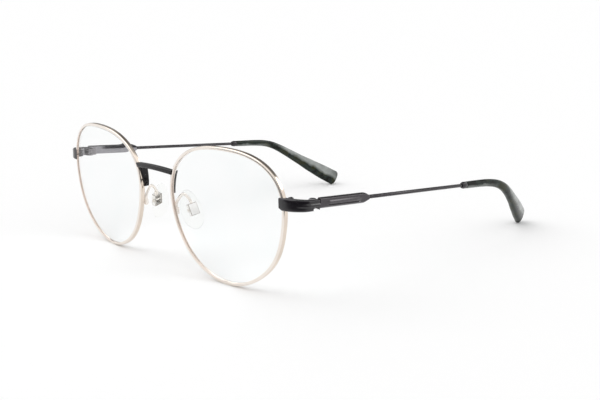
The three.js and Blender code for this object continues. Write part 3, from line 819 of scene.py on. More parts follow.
@dataclass(frozen=True)
class MottledAcetate:
    """Polished acetate, dark and olive, with light grey bands over it: a painted reflection and a
    lighter band.
    """

    name: str
    dark: Triple
    teal: Triple
    olive: Triple
    light: Triple
    gloss: Gloss
    light_bands: tuple[ToneBand, ...]
    warp: Triple = (0.004, 0.004, 0.004)
    wipe_dulling: float = 0.05
    grain_scale: float = 900.0
    grain_strength: float = 0.04

    def build(self, effects: Effects) -> Material:
        """Make the material.

        Args:
            effects: The shared effect groups.

        Returns:
            The finished material.
        """
        sheet, gloss = MaterialSheet(self.name), self.gloss
        bent = sheet.add("TexNoise", Vector=sheet.place, Scale=140.0, Detail=3.0).outputs["Color"]
        settings = {"operation": "MULTIPLY_ADD"}
        warped = sheet.row("VectorMath", settings, bent, self.warp, sheet.place).outputs[0]
        clouds = sheet.add(
            "TexNoise", Vector=warped, Scale=260.0, Detail=4.0, Roughness=0.5,
        ).outputs[0]
        tones = zip((0.4, 0.5, 0.6), (self.dark, self.teal, self.olive), strict=True)
        body = sheet.ramp(clouds, [(position, rgba(*tone)) for position, tone in tones])
        # Painted reflection and a lighter band, laid over the mottled body.
        light: object = 0.0
        for light_band in self.light_bands:
            light = sheet.math("MAXIMUM", light, light_band.mask(sheet, warped))
        patches = sheet.span(clouds, 0.38, 0.6, 0.7, 1.0)
        marks = sheet.effect(effects.handling)
        wiped = sheet.math("MULTIPLY", marks["Wipes"], self.wipe_dulling)
        sheet.dress(
            Base_Color=sheet.mix(sheet.math("MULTIPLY", light, patches), body, rgba(*self.light)),
            Roughness=sheet.math("ADD", wiped, gloss.roughness),
            Specular_IOR_Level=gloss.level,
            Coat_Weight=gloss.coat,
            Coat_Roughness=gloss.coat_roughness,
        )
        grain = sheet.effect(effects.grain, Scale=self.grain_scale)
        sheet.raise_grain(grain["Height"], self.grain_strength)
        return sheet.material


# Painted shade: a dark band along the top of a temple block's inner face, over its rear half.
BLOCK_PAINTED_SHADE = ToneBand(
    (0.0, 0.0889, 1.0), (0.0243, 0.0247), (-0.0462, -0.0438), (0.0, 0.01), 0.92,
)
# Light grey bands of the acetate: a painted reflection over the outer half past the bend, and a
# lighter band along the underside before it.
TIP_LIGHT_BANDS = (
    ToneBand((0.0, 0.578, 0.816), (0.04, 0.0411), (0.036, 0.043), (0.0625, 0.068), 0.95),
    ToneBand((0.0, -0.12, -1.0), (-0.0273, -0.0266), (0.010, 0.014), (0.029, 0.036), 0.62),
)


class Finish(Enum):
    """Finishes of the frame, each with the record's slot that it belongs to."""

    ROSE_GOLD = (
        Slot.ROSE_GOLD, PolishedMetal("rose_gold_plate", (228, 215, 202), (212, 198, 184), 0.1),
    )
    # Paler copy of the rose gold: a painted highlight on the rims' front and rear faces.
    PALE_ROSE = (
        Slot.ROSE_GOLD, PolishedMetal("rose_plate_painted_highlight", (240, 232, 224), (229, 219, 209), 0.12),
    )
    INNER_ROSE = (
        Slot.ROSE_GOLD,
        PolishedMetal("inner_rose_plate", (238, 218, 206), (226, 205, 192), 0.3, 0.35),
    )
    ARM_PLATE = (
        Slot.ROSE_GOLD, PolishedMetal("pad_arm_plate", (250, 243, 236), (238, 227, 218), 0.2, 0.5),
    )
    PAD_STEEL = (
        Slot.STEEL, PolishedMetal("pad_steel", (250, 248, 246), (240, 238, 236), 0.3, 0.4),
    )
    # Inner face of the temple blocks, with a painted shade band along its top.
    INNER_STEEL = (
        Slot.BLACK_METAL,
        PolishedMetal(
            "inner_gunmetal", (160, 158, 162), (136, 134, 138), 0.3, painted_shade=BLOCK_PAINTED_SHADE,
        ),
    )
    BLACK = (
        Slot.BLACK_METAL,
        SatinLacquer(
            "deep_black_lacquer", (14, 10, 17), (96, 91, 96),
            Gloss(0.18, 0.5, 0.15, 0.08, 0.0, 0.02),
        ),
    )
    BRIDGE_BLACK = (
        Slot.BLACK_METAL,
        SatinLacquer(
            "bridge_lacquer", (7, 6, 8), (90, 86, 90), Gloss(0.16, 0.28, 0.04, 0.08, 0.0, 0.02),
        ),
    )
    SMOKED = (
        Slot.BLACK_METAL,
        SatinLacquer(
            "smoked_metal", (72, 69, 72), (142, 138, 142), Gloss(0.16, 0.5, 0.3, 0.1, 0.85, 0.08),
        ),
    )
    DARK_WIRE = (
        Slot.BLACK_METAL,
        SatinLacquer(
            "dark_wire", (54, 52, 54), (120, 116, 120), Gloss(0.16, 0.5, 0.2, 0.1, 0.85, 0.06),
        ),
    )
    GUNMETAL = (
        Slot.BLACK_METAL, PolishedMetal("gunmetal", (150, 147, 150), (118, 115, 118), 0.2),
    )
    STEEL = Slot.STEEL, PolishedMetal("turned_steel", (240, 236, 231), (214, 208, 202), 0.24)
    # Darker copy of the pad steel: painted shade on the pad boxes' rounded edges.
    EDGE_STEEL = (
        Slot.STEEL, PolishedMetal("steel_painted_edge_shade", (172, 166, 160), (150, 144, 138), 0.3),
    )
    DARK_STEEL = (
        Slot.BLACK_METAL, PolishedMetal("blackened_steel", (104, 100, 104), (74, 71, 74), 0.22),
    )
    LENS = (
        Slot.LENS,
        ClearGlass("clear_lens", (252, 253, 253), (250, 252, 252), 0.0, 1.06, 0.0, 0.12),
    )
    SILICONE = (
        Slot.SILICONE,
        ClearGlass("clear_silicone", (254, 254, 253), (250, 251, 250), 0.02, 1.035, 0.03, 0.06),
    )
    ACETATE = (
        Slot.ACETATE,
        MottledAcetate(
            "mottled_acetate", (14, 16, 10), (38, 48, 44), (46, 48, 30), (164, 168, 165),
            Gloss(0.14, 0.16, 0.07, 0.06, 0.0, 0.0), TIP_LIGHT_BANDS,
        ),
    )

    def __init__(
        self, slot: Slot, recipe: PolishedMetal | SatinLacquer | ClearGlass | MottledAcetate,
    ) -> None:
        """Keep the slot and the recipe."""
        self.slot = slot
        self.recipe = recipe


class Palette:
    """All finishes of the frame, made once."""

    def __init__(self) -> None:
        """Build every material."""
        effects = Effects()
        self.made = {finish: finish.recipe.build(effects) for finish in Finish}

    def coat(self, piece: Piece, *finishes: Finish) -> None:
        """Give a piece further materials, in order."""
        for finish in finishes:
            piece.data.materials.append(self.made[finish])


@dataclass
class SubAssembly:
    """Pieces that are built and fitted together, dressed from one palette."""

    palette: Palette

    def fit(self, piece: Piece, node: str, finish: Finish, body: str) -> None:
        """Dress a finished piece and set it on its body.

        Args:
            piece: The finished piece.
            node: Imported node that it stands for.
            finish: Its finish, where it has none of its own yet.
            body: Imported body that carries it.
        """
        named(piece, f"{node}_look")
        if not piece.data.materials:
            self.palette.coat(piece, finish)
        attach(piece, body)
        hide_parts(node)
        LOG.info("%s on %s: %d faces", piece.name, body, len(piece.data.polygons))

    def pair(self, stem: str, piece: Piece, finish: Finish, body: Body = Body.FRONT) -> None:
        """Fit a left-hand piece and its mirrored copy.

        Args:
            stem: Name of the pair's nodes, before the side.
            piece: The finished left-hand piece.
            finish: Its finish.
            body: Kind of body that carries it.
        """
        right = mirrored(piece, f"{stem}_{Side.RIGHT.value}_look")
        for side, item in ((Side.LEFT, piece), (Side.RIGHT, right)):
            self.fit(item, f"{stem}_{side.value}", finish, body.of(side))


@dataclass(frozen=True)
class Screw:
    """Small slotted screw with a domed head."""

    shank: float
    head: float
    height: float
    slot_width: float = 0.24
    slot_depth: float = 0.2
    slot_reach: float = 1.3
    sides: int = 32
    point: Point2 = (0.7, 0.3)
    neck: float = 0.02
    rim: Point2 = (0.96, 0.04)
    dome: tuple[Point2, ...] = ((1.0, 0.5), (0.95, 0.72), (0.82, 0.9), (0.6, 0.99), (0.3, 1.0))

    def turned(self, name: str, place: Matrix, low: float, seat: float) -> Piece:
        """Turn the screw and cut its slot.

        Args:
            name: Name of the screw.
            place: Its frame, with Z along the shank.
            low: Height of the shank's end.
            seat: Height of the head's seat.

        Returns:
            The finished screw.
        """
        profile = [
            (self.shank * self.point[0], low), (self.shank, low + self.shank * self.point[1]),
            (self.shank, seat - self.neck), (self.head * self.rim[0], seat),
            (self.head, seat + self.rim[1]),
            *((self.head * share, seat + self.height * rise) for share, rise in self.dome),
        ]
        turns = [i / self.sides * FULL_TURN for i in range(self.sides)]
        piece = lofted(name, [
            [place @ Vector((radius * math.cos(a), radius * math.sin(a), z)) for a in turns]
            for radius, z in profile
        ])
        top = seat + self.height
        blade = rectangle(self.head * self.slot_reach, self.slot_width / 2)
        slot = prism("slot", blade, top - self.slot_depth, top + self.height, place)
        combine(piece, slot, "DIFFERENCE")
        close_skin(piece, smooth_angle=35)
        return piece


# ---------------------------------------------------------------- eyewires and lenses


@dataclass(frozen=True)
class LensShape:
    """Outline, curve and place of the left lens."""

    width: float = 50.15
    height: float = 41.6
    thickness: float = 1.1
    bevel_height: float = 0.55
    bevel_width: float = 0.7
    bevel_land: float = 0.2
    edge_break: float = 0.04
    curve_radius: float = 120.0
    spacing: float = 18.6
    tilt: float = 2.42
    wrap: float = 4.68
    mean: float = 1.0092
    harmonics: tuple[Point2, ...] = (
        (0.0045, 0.0432), (-0.0044, 0.0112), (-0.0041, 0.0417),
        (-0.0188, -0.0038), (-0.0029, -0.0028), (-0.0031, -0.0022),
    )

    @property
    def centre_x(self) -> float:
        """Distance of the lens centre from the middle of the frame."""
        return (self.width + self.spacing) / 2

    @property
    def place(self) -> Matrix:
        """Where the lens stands in the layout."""
        turn = turn_about("Z", self.wrap) @ turn_about("X", self.tilt)
        return Matrix.Translation((self.centre_x, 0, 0)) @ turn

    def edge(self, angle: float, offset: float = 0.0) -> Point2:
        """Point of the outline at an angle, moved out along its normal."""
        reach, slope = self.mean, 0.0
        for i, (cosine, sine) in enumerate(self.harmonics, start=1):
            c, s = math.cos(i * angle), math.sin(i * angle)
            reach += cosine * c + sine * s
            slope += i * (sine * c - cosine * s)
        half_u, half_v = self.width / 2, self.height / 2
        along_u = half_u * (slope * math.cos(angle) - reach * math.sin(angle))
        along_v = half_v * (slope * math.sin(angle) + reach * math.cos(angle))
        length = math.hypot(along_u, along_v)
        return (
            half_u * reach * math.cos(angle) + offset * along_v / length,
            half_v * reach * math.sin(angle) - offset * along_u / length,
        )

    def surface(self, u: float, v: float, depth: float) -> Vector:
        """Point of the curved front surface, depth counted back from it."""
        return Vector((u, (u * u + v * v) / (2 * self.curve_radius) + depth, v))

    def at(self, angle: float, offset: float, depth: float) -> Vector:
        """Point near the outline, in the layout."""
        return self.place @ self.surface(*self.edge(angle, offset), depth)

    def ring(self, offset: float, depth: float, count: int, share: float = 1.0) -> Ring:
        """Closed ring round the lens, in the layout."""
        ring = []
        for i in range(count):
            u, v = self.edge(i / count * FULL_TURN, offset)
            ring.append(self.place @ self.surface(u * share, v * share, depth))
        return ring

    def angle_at_rise(self, rise: float, offset: float) -> float:
        """Angle at which the outline reaches a height on the temple side, found by halving."""
        low, high = 0.0, math.pi / 3
        for _ in range(40):
            middle = (low + high) / 2
            if self.edge(middle, offset)[1] < rise:
                low = middle
            else:
                high = middle
        return (low + high) / 2


@dataclass
class Eyewires(SubAssembly):
    """The rolled rims, the lenses that they hold and the blocks that close them."""

    lens: LensShape = field(default_factory=LensShape)
    groove_depth: float = 0.44
    groove_width: float = 0.9
    groove_floor: float = 0.4
    wall: float = 0.51
    depth: float = 1.4
    crown: float = 0.05
    bevel_gap: float = 0.1
    rounding: tuple[float, ...] = (0.1, 0.3, 0.24, 0.3, 0.24, 0.3, 0.1, 0.05, 0.05, 0.05, 0.05)
    highlight_facing: float = 0.75
    inward: float = 0.6
    stations: int = 184
    lens_stations: int = 144
    lens_shares: tuple[float, ...] = (0.04, 0.2, 0.4, 0.6, 0.8, 0.93, 0.985)
    fill_shares: tuple[float, ...] = (0.1, 0.6, 0.9, 1.0)
    lock_rise: float = 7.5
    lock_split: float = 0.3
    lock_half_height: float = 1.05
    lock_reach: float = 1.5
    lock_lap: float = 0.55
    lock_depth: float = 1.4
    lock_rounding: tuple[float, ...] = (0.06, 0.75, 0.4, 0.1)
    lock_edge: float = 0.12
    lock_screw: Screw = Screw(0.42, 0.7, 0.25)

    @property
    def outer(self) -> float:
        """Outer side of the rim, from the lens edge."""
        return self.bevel_gap + self.wall

    @property
    def inner(self) -> float:
        """Inner side of the rim, from the lens edge."""
        return self.bevel_gap - self.groove_depth

    @property
    def middle(self) -> float:
        """Middle of the rim's wall, from the lens edge."""
        return self.bevel_gap + (self.wall - self.groove_depth) / 2

    @property
    def lock_angle(self) -> float:
        """Angle of the closing block round the lens."""
        return self.lens.angle_at_rise(self.lock_rise, self.middle)

    @property
    def lock_front(self) -> float:
        """Depth of the closing block's front face, against the rear of the rim."""
        return self.depth / 2 + SEAT_GAP

    def rim_point(self, offset: float, depth: float) -> Vector:
        """Point of the rim beside the closing block."""
        return self.lens.at(self.lock_angle, offset, depth)

    def section(self) -> list[Point2]:
        """Rim section: offset from the lens edge and depth, front face crowned."""
        half, mid, swell = self.depth / 2, (self.inner + self.outer) / 2, self.crown / 2
        floor = self.inner + self.groove_depth
        mouth, bed = self.groove_width / 2, self.groove_floor / 2
        return filleted([
            (self.inner, -half), (mid, -half - self.crown), (self.outer, -half),
            (self.outer + swell, 0.0), (self.outer, half), (mid, half + swell), (self.inner, half),
            (self.inner, mouth), (floor, bed), (floor, -bed), (self.inner, -mouth),
        ], self.rounding)

    def rim(self) -> Piece:
        """Roll the rim's channel round the lens, open at the closing block."""
        gap = self.lock_split / self.lens.width
        start, sweep = self.lock_angle + gap, FULL_TURN - 2 * gap
        section = self.section()
        return lofted("rim", [
            [self.lens.at(start + sweep * i / self.stations, *point) for point in section]
            for i in range(self.stations + 1)
        ], smooth_angle=50)

    def lens_blank(self) -> Piece:
        """Grow the lens from its front middle over its bevelled edge to its back."""
        lens, shares = self.lens, self.lens_shares
        half, edge, width, land = (
            lens.thickness / 2, -lens.bevel_height, lens.bevel_width / 2, lens.bevel_land / 2,
        )
        walls = [
            (edge, -half + lens.edge_break), (edge, -width), (0, -land),
            (0, land), (edge, width), (edge, half - lens.edge_break),
        ]
        steps = [
            *((edge, -half, share) for share in shares), *((*wall, 1.0) for wall in walls),
            *((edge, half, share) for share in reversed(shares)),
        ]
        count = self.lens_stations
        rings = [lens.ring(at, depth, count, share) for at, depth, share in steps]
        return lofted("lens", rings, smooth_angle=28)

    def paint_rim_highlight(self, name: str) -> None:
        """Give a rim a painted highlight, a paler copy of its plating on its front and rear faces,
        and its softer plating inside.
        """
        rim = bpy.data.objects[name]
        self.palette.coat(rim, Finish.PALE_ROSE, Finish.INNER_ROSE)
        middle = sum((corner.co for corner in rim.data.vertices), Vector()) / len(rim.data.vertices)
        for face in rim.data.polygons:
            # Painted highlight: faces that look forward or back take the paler copy of the plating.
            face.material_index = int(abs(face.normal.y) > self.highlight_facing)
            if face.normal.dot((middle - face.center).normalized()) > self.inward:
                face.material_index = 2

    def lock_place(self) -> Matrix:
        """Frame of the closing block: X away from the lens, Z along the rim."""
        at, ahead = self.lens.edge(self.lock_angle), self.lens.edge(self.lock_angle, 1.0)
        turn = math.atan2(ahead[1] - at[1], ahead[0] - at[0])
        origin = Matrix.Translation(self.lens.surface(*at, 0.0))
        return self.lens.place @ origin @ Matrix.Rotation(-turn, 4, "Y")

    def lock_half(self, name: str, sign: int) -> Piece:
        """Cut one half of the closing block.

        Args:
            name: Name of the half.
            sign: One for the upper half, minus one for the lower.

        Returns:
            The half, seated behind the rim.
        """
        near, front = self.outer + SEAT_GAP - self.lock_lap, self.lock_front
        far, back = near + self.lock_lap + self.lock_reach, front + self.lock_depth
        corners = [(near, front), (far, front), (far, back), (near, back)]
        outline = filleted(corners, self.lock_rounding, 6)
        split = self.lock_split / 2
        low, high = sorted((sign * split, sign * (split + self.lock_half_height)))
        return slab(name, outline, low, high, self.lock_place(), self.lock_edge)

    def envelope(self, front: float, rear: float, mirror: bool = False) -> Piece:
        """Solid that fills the rim and all inside it, for trimming its neighbours.

        Args:
            front: Depth of its front face.
            rear: Depth of its rear face.
            mirror: Whether it stands round the right-hand lens.

        Returns:
            The solid, grown by the seat gap.
        """
        steps = [
            *((front, share) for share in self.fill_shares),
            *((rear, share) for share in reversed(self.fill_shares)),
        ]
        offset, count = self.outer + SEAT_GAP, self.lens_stations
        rings = [self.lens.ring(offset, depth, count, share) for depth, share in steps]
        return lofted("envelope", [flipped(ring) for ring in rings] if mirror else rings)

    def build(self) -> None:
        """Build and dress the rims, lenses and closing blocks."""
        self.pair("rim", self.rim(), Finish.ROSE_GOLD)
        self.pair("lens", self.lens_blank(), Finish.LENS)
        for side in Side:
            self.paint_rim_highlight(f"rim_{side.value}_look")
        for stem, sign in (("lock_upper", 1), ("lock_lower", -1)):
            self.pair(stem, self.lock_half(stem, sign), Finish.BLACK)
        end = self.lock_split / 2 + self.lock_half_height
        x = self.outer + SEAT_GAP + self.lock_reach / 2
        y = self.lock_front + self.lock_depth / 2
        place = self.lock_place() @ Matrix.Translation((x, y, 0))
        screw = self.lock_screw.turned("lock_screw", place, -end, end + SEAT_GAP / 2)
        self.pair("lock_screw", screw, Finish.DARK_STEEL)


# ---------------------------------------------------------------- end pieces and hinges


@dataclass
class Corner(SubAssembly):
    """End pieces that wrap the front's corners, and the hinges on them."""

    eyewires: Eyewires
    front_height: float = 3.7
    rear_height: float = 3.2
    front_drop: float = 0.05
    thickness: float = 1.45
    front_proud: float = 0.5
    front_lap: float = 1.15
    lap_corner: float = 0.9
    lap_steps: int = 4
    bend_reach: float = 5.3
    bend_depth: float = 4.4
    steps: int = 26
    rear_cut: float = 0.45
    rear_cut_length: float = 1.2
    trim_depth: float = 4.0
    wedge: tuple[Point2, ...] = ((-4.0, -2.5), (4.0, -2.5), (4.0, 2.0), (-4.0, 2.0))
    out: float = 3.7
    back: float = 7.1
    sink: float = 0.5
    barrel: float = 1.25
    bore: float = 0.75
    leaf: float = 0.6
    leaf_length: float = 3.0
    leaf_setback: float = 1.45
    leaf_edge: float = 0.1
    hinge_height: float = 2.6
    knuckle_height: float = 1.1
    knuckle_gap: float = 0.06
    knuckle_edge: float = 0.07
    knuckle_steps: int = 36
    butt_gap: float = 0.25
    drop: float = 5.08
    toe: float = 2.515
    ridge_height: float = 0.35
    ridge_proud: float = 0.3
    ridge_slope: float = 0.45
    bar_edge: float = 0.3
    block_edge: float = 0.42
    groove_width: float = 0.34
    groove_depth: float = 0.26
    bar_rounding: tuple[float, ...] = (0.12, 0.1, 0.1, 0.12, 0.08, 0.08, 0.12, 0.1, 0.1, 0.12)
    block_rounding: tuple[float, ...] = (
        0.12, 0.1, 0.1, 0.03, 0.03, 0.03, 0.08, 0.08, 0.12, 0.1, 0.1, 0.75,
    )
    screw_head: Point2 = (0.95, 0.25)

    @property
    def place(self) -> Matrix:
        """Frame of the left hinge: Y back along the temple, Z on the hinge axis."""
        lens = self.eyewires.lens
        setback = self.eyewires.rim_point(self.eyewires.middle, 0.0).y + self.back
        origin = (lens.centre_x + lens.width / 2 + self.out, setback, self.eyewires.lock_rise)
        turn = turn_about("Z", self.toe) @ turn_about("X", -self.drop)
        return Matrix.Translation(origin) @ turn

    @property
    def hinge(self) -> Matrix:
        """Middle of the left hinge, a little below the middle of the temple."""
        return self.place @ Matrix.Translation((0, 0, -self.sink))

    @property
    def inner(self) -> float:
        """Inner side of the walls that carry the hinge leaves."""
        return self.barrel + SEAT_GAP / 2

    def bar_section(
        self, height: float, thickness: float, proud: float, grooved: bool = False,
    ) -> list[Point2]:
        """Bar section with a raised ridge along the middle of its outer side.

        Args:
            height: Height of the bar.
            thickness: Thickness of the bar.
            proud: How far the ridge stands out.
            grooved: Whether a fine groove runs under the ridge, and the inner top edge is round.

        Returns:
            The rounded outline.
        """
        x, y, rise = thickness / 2, height / 2, self.ridge_height / 2
        flank = rise + self.ridge_slope
        edge, groove, rounding = self.bar_edge, [], self.bar_rounding
        if grooved:
            depth, low = self.groove_depth * proud / self.ridge_proud, -flank - self.groove_width
            groove = [(x, low), (x - depth, (low - flank) / 2)]
            edge, rounding = self.block_edge, self.block_rounding
        return filleted([
            (-x, -y), (x - edge, -y), (x, edge - y), *groove, (x, -flank), (x + proud, -rise),
            (x + proud, rise), (x, flank), (x, y - edge), (x - edge, y), (-x, y),
        ], rounding)

    def end_path(self, rear: Vector) -> list[Vector]:
        """Middle line of the end piece, from its lap on the rim to the hinge.

        Args:
            rear: Where it ends.

        Returns:
            Points along the line.
        """
        wire = self.eyewires
        rim_front = wire.rim_point(wire.middle, -wire.depth / 2)
        front_x, front_z = rim_front.x - self.front_lap, rim_front.z - self.front_drop
        front_y = rim_front.y - self.front_proud + self.thickness / 2
        to_front = self.place.to_3x3() @ Vector((0, -1, 0))
        bend_rear = rear + to_front * (rear.y - front_y - self.bend_depth)
        bend_x = bend_rear.x - self.bend_reach - self.thickness / 2
        bend = bezier(
            Vector((bend_x, front_y, front_z)),
            Vector((bend_x + self.bend_reach / 2, front_y, front_z)),
            bend_rear + to_front * (self.bend_depth / 2),
            bend_rear,
        )
        lap = [
            Vector((front_x + self.lap_corner * i / self.lap_steps, front_y, front_z))
            for i in range(self.lap_steps + 1)
        ]
        cut_start = rear + to_front * self.rear_cut_length
        return [*lap, *evenly(bend, self.steps), cut_start, cut_start.lerp(rear, 0.5), rear]

    def end_piece(self) -> Piece:
        """Bend the end piece from the rim's front round to the hinge, and trim it."""
        rear_x = self.inner + self.thickness / 2
        points = self.end_path(self.place @ Vector((rear_x, self.butt_gap, -self.sink)))
        hinge_up = self.place.to_3x3() @ UP
        lap, rings = self.lap_steps, []
        for i, station in enumerate(carried(points, UP)):
            share = max(0.0, (i - lap + 1) / (len(points) - lap))
            up = UP.lerp(hinge_up, share).normalized()
            ridge = self.ridge_proud * max(0.0, share * 2 - 1)
            height = self.front_height + (self.rear_height - self.front_height) * share * share
            corner = 1 - self.lap_corner / self.front_height * max(0.0, 1 - i / lap)
            section = self.bar_section(height, self.thickness, ridge)
            side = station.ahead.cross(up).normalized()
            lowered = [(x, z * corner if z < 0 else z) for x, z in section]
            rings.append(section_ring(station.point, side, up, lowered))
        piece = lofted("end_piece", rings)
        half = self.eyewires.depth / 2
        around = self.eyewires.envelope(-half - SEAT_GAP, half + self.trim_depth)
        combine(piece, around, "DIFFERENCE")
        combine(piece, self.rear_wedge(rear_x), "DIFFERENCE")
        close_skin(piece, merge=True, smooth_angle=32)
        return piece

    def rear_wedge(self, rear_x: float) -> Piece:
        """Cutter that slopes the end piece's lower rear corner."""
        slope = Matrix.Rotation(-math.atan2(self.rear_cut, self.rear_cut_length), 4, "X")
        drop = -self.sink - self.rear_height / 2 - self.rear_cut / 2
        low = self.place @ Matrix.Translation((rear_x, self.butt_gap, drop)) @ slope
        return prism("wedge", self.wedge, -self.rear_cut, self.rear_cut, low)

    def leaf_outline(self) -> list[Point2]:
        """Outline of a knuckle round the hinge axis with the root of its leaf."""
        outer, inner = self.barrel, self.barrel - self.leaf
        root = self.leaf_setback + self.leaf
        start = math.atan2(math.sqrt(outer * outer - inner * inner), inner)
        count = self.knuckle_steps
        arc = [start + (FULL_TURN - start) * i / count for i in range(count)]
        round_side = ((outer * math.cos(a), outer * math.sin(a)) for a in arc)
        return [(outer, 0.0), (outer, root), (inner, root), *round_side]

    def leaf_part(self, name: str, turn: Matrix, bands: Sequence[Point2]) -> Piece:
        """Hinge leaf with its knuckles.

        Args:
            name: Name of the leaf.
            turn: Turn about the hinge that leads the plate forward or back.
            bands: Lower and upper height of each knuckle.

        Returns:
            The finished leaf.
        """
        place, top = self.hinge @ turn, self.hinge_height / 2
        inner, near, far = self.barrel - self.leaf, self.leaf_setback, self.leaf_length
        plate = [(inner, near), (self.barrel, near), (self.barrel, far), (inner, far)]
        parts = [slab(name, plate, -top, top, place, self.leaf_edge)]
        parts += [
            slab(name, self.leaf_outline(), low, high, place, self.knuckle_edge)
            for low, high in bands
        ]
        return joined(name, *parts)

    def build(self) -> None:
        """Build and dress the end pieces and hinges."""
        self.pair("end_piece", self.end_piece(), Finish.BLACK)
        half, top = self.knuckle_height / 2, self.hinge_height / 2
        bottom = half + self.knuckle_gap
        bands = [(bottom, top), (-top, -bottom)]
        front = self.leaf_part("hinge_front_leaf", turn_about("X", 180), bands)
        self.pair("hinge_front_leaf", front, Finish.GUNMETAL)
        temple = self.leaf_part("hinge_temple_leaf", Matrix.Identity(4), [(-half, half)])
        self.pair("hinge_temple_leaf", temple, Finish.GUNMETAL, Body.TEMPLE)
        screw = Screw(self.bore - BORE_GAP, *self.screw_head)
        turned = screw.turned("hinge_screw", self.hinge, -top, top + SEAT_GAP / 2)
        self.pair("hinge_screw", turned, Finish.DARK_STEEL)


# ---------------------------------------------------------------- temples


@dataclass
class Temples(SubAssembly):
    """Temple blocks with their wires, collars and acetate tips."""

    corner: Corner
    block_height: float = 3.1
    block_thickness: float = 1.45
    block_length: float = 20.2
    block_start_shares: tuple[Point2, ...] = ((0.0, 0.9), (0.12, 0.97), (0.32, 1.0))
    block_point: float = 2.4
    block_point_height: float = 1.5
    block_point_power: float = 1.6
    block_point_steps: int = 8
    inward: float = 0.9
    upward: float = 0.3
    ridge_start: float = 4.2
    ridge_length: float = 12.0
    ridge_run: float = 1.2
    wire_radius: float = 0.58
    wire_length: float = 45.2
    wire_sides: int = 24
    wire_break: float = 0.1
    wire_break_share: float = 0.8
    socket: float = 3.0
    core_radius: float = 0.5
    core_length: float = 36.0
    core_step: float = 0.6
    collar_length: float = 2.3
    collar_height: float = 2.3
    collar_width: float = 2.0
    collar_sides: int = 32
    collar_break: float = 0.12
    tip_straight: float = 6.2
    tip_pull: float = 16.8
    tip_turn: Triple = (2.0, 13.8, -2.1)
    tip_length: float = 41.9
    tip_drop: float = 16.48
    tip_inset: float = 9.9
    tip_start_size: Point2 = (2.1, 2.3)
    tip_end_size: Point2 = (2.9, 6.3)
    tip_round: float = 1.6
    tip_round_power: float = 0.62
    tip_round_steps: int = 10
    tip_start_keeps: Point2 = (0.35, 0.85)
    tip_break: float = 0.06
    tip_break_keep: float = 0.97
    tip_end_keep: float = 0.06
    tip_sides: int = 40
    tip_lead_steps: int = 6
    tip_steps: int = 56
    squareness: float = 0.8
    growth: tuple[float, ...] = (0, 0.02, 0.07, 0.15, 0.28, 0.46, 0.75, 0.96, 1)
    growth_ease: float = 0.35

    def __post_init__(self) -> None:
        """Work out the places along the temple."""
        self.wire_x = self.corner.inner + self.wire_radius
        self.block_start = self.corner.butt_gap * 2
        self.block_end = self.block_start + self.block_length
        self.collar_start = self.block_end + self.wire_length
        self.tip_start = self.collar_start + self.collar_length + SEAT_GAP

    def across(self, y: float, section: Sequence[Point2], middle: float) -> Ring:
        """Section that stands square to the temple, in the layout."""
        return [self.corner.place @ Vector((middle + side, y, up)) for side, up in section]

    def block_stations(self) -> list[Triple]:
        """Places along the block, each with its share of the height and its ridge."""
        proud, run = self.corner.ridge_proud, self.ridge_run
        ridge_end = self.ridge_start + self.ridge_length
        point_start = self.block_end - self.block_point
        end_share, steps = self.block_point_height / self.block_height, self.block_point_steps
        point = (
            (t, 1 - (1 - end_share) * t**self.block_point_power)
            for t in (i / steps for i in range(1, steps + 1))
        )
        return [
            *((self.block_start + y, share, 0.0) for y, share in self.block_start_shares),
            (self.ridge_start - run, 1.0, 0.0), (self.ridge_start - run / 2, 1.0, proud * 0.5),
            (self.ridge_start, 1.0, proud), (ridge_end, 1.0, proud),
            (ridge_end + run / 2, 1.0, proud * 0.5), (ridge_end + run, 1.0, 0.0),
            (point_start, 1.0, 0.0),
            *((point_start + self.block_point * t, share, 0.0) for t, share in point),
        ]

    def block(self) -> Piece:
        """Draw the block with its ridge to a blunt point, paler inside."""
        middle = self.corner.inner + self.block_thickness / 2
        size = (self.block_height, self.block_thickness)
        rings = []
        for y, share, ridge in self.block_stations():
            section = self.corner.bar_section(*size, ridge, grooved=True)
            rings.append(self.across(y, [(x, z * share) for x, z in section], middle))
        piece = lofted("temple_block", rings, smooth_angle=32)
        self.palette.coat(piece, Finish.SMOKED, Finish.INNER_STEEL, Finish.BLACK)
        for face in piece.data.polygons:
            face.material_index = int(face.normal.x < -self.inward)
            if face.normal.z > self.upward and face.normal.x < 0:
                face.material_index = 2
        return piece

    def tip_path(self) -> list[Station]:
        """Stations down the middle of the acetate tip, in the layout."""
        place, x, start = self.corner.place, self.wire_x, self.tip_start + self.tip_straight
        side, along, up = self.tip_turn
        bend = bezier(
            Vector((x, start, 0)),
            Vector((x, start + self.tip_pull, 0)),
            Vector((x + side, start + along, up)),
            Vector((x - self.tip_inset, start + self.tip_length, -self.tip_drop)),
        )
        steps = self.tip_lead_steps
        lead = [
            Vector((x, self.tip_start + self.tip_straight * i / steps, 0)) for i in range(steps)
        ]
        points = [place @ point for point in (*lead, *evenly(bend, self.tip_steps))]
        return carried(points, place.to_3x3() @ UP)

    def grown(self, share: float) -> float:
        """Growth of the tip from its start size to its end size."""
        place = min(max(share, 0.0), 1.0) * (len(self.growth) - 1)
        low = min(int(place), len(self.growth) - 2)
        t = place - low
        t = t * t * (3 - 2 * t) * self.growth_ease + t * (1 - self.growth_ease)
        return self.growth[low] + (self.growth[low + 1] - self.growth[low]) * t

    def tip(self) -> Piece:
        """Grow the acetate tip from its collar to its rounded end."""
        stations = self.tip_path()
        first, last, total = stations[0], stations[-1], stations[-1].travelled

        def ring(station: Station, point: Vector, keep: float) -> Ring:
            """Section of the tip at a point, drawn in to a share of its size."""
            share = self.grown(station.travelled / total)
            width, height = (
                start + (end - start) * share
                for start, end in zip(self.tip_start_size, self.tip_end_size, strict=True)
            )
            section = oval(width * keep, height * keep, self.tip_sides, self.squareness)
            return section_ring(point, station.side, station.up, section)

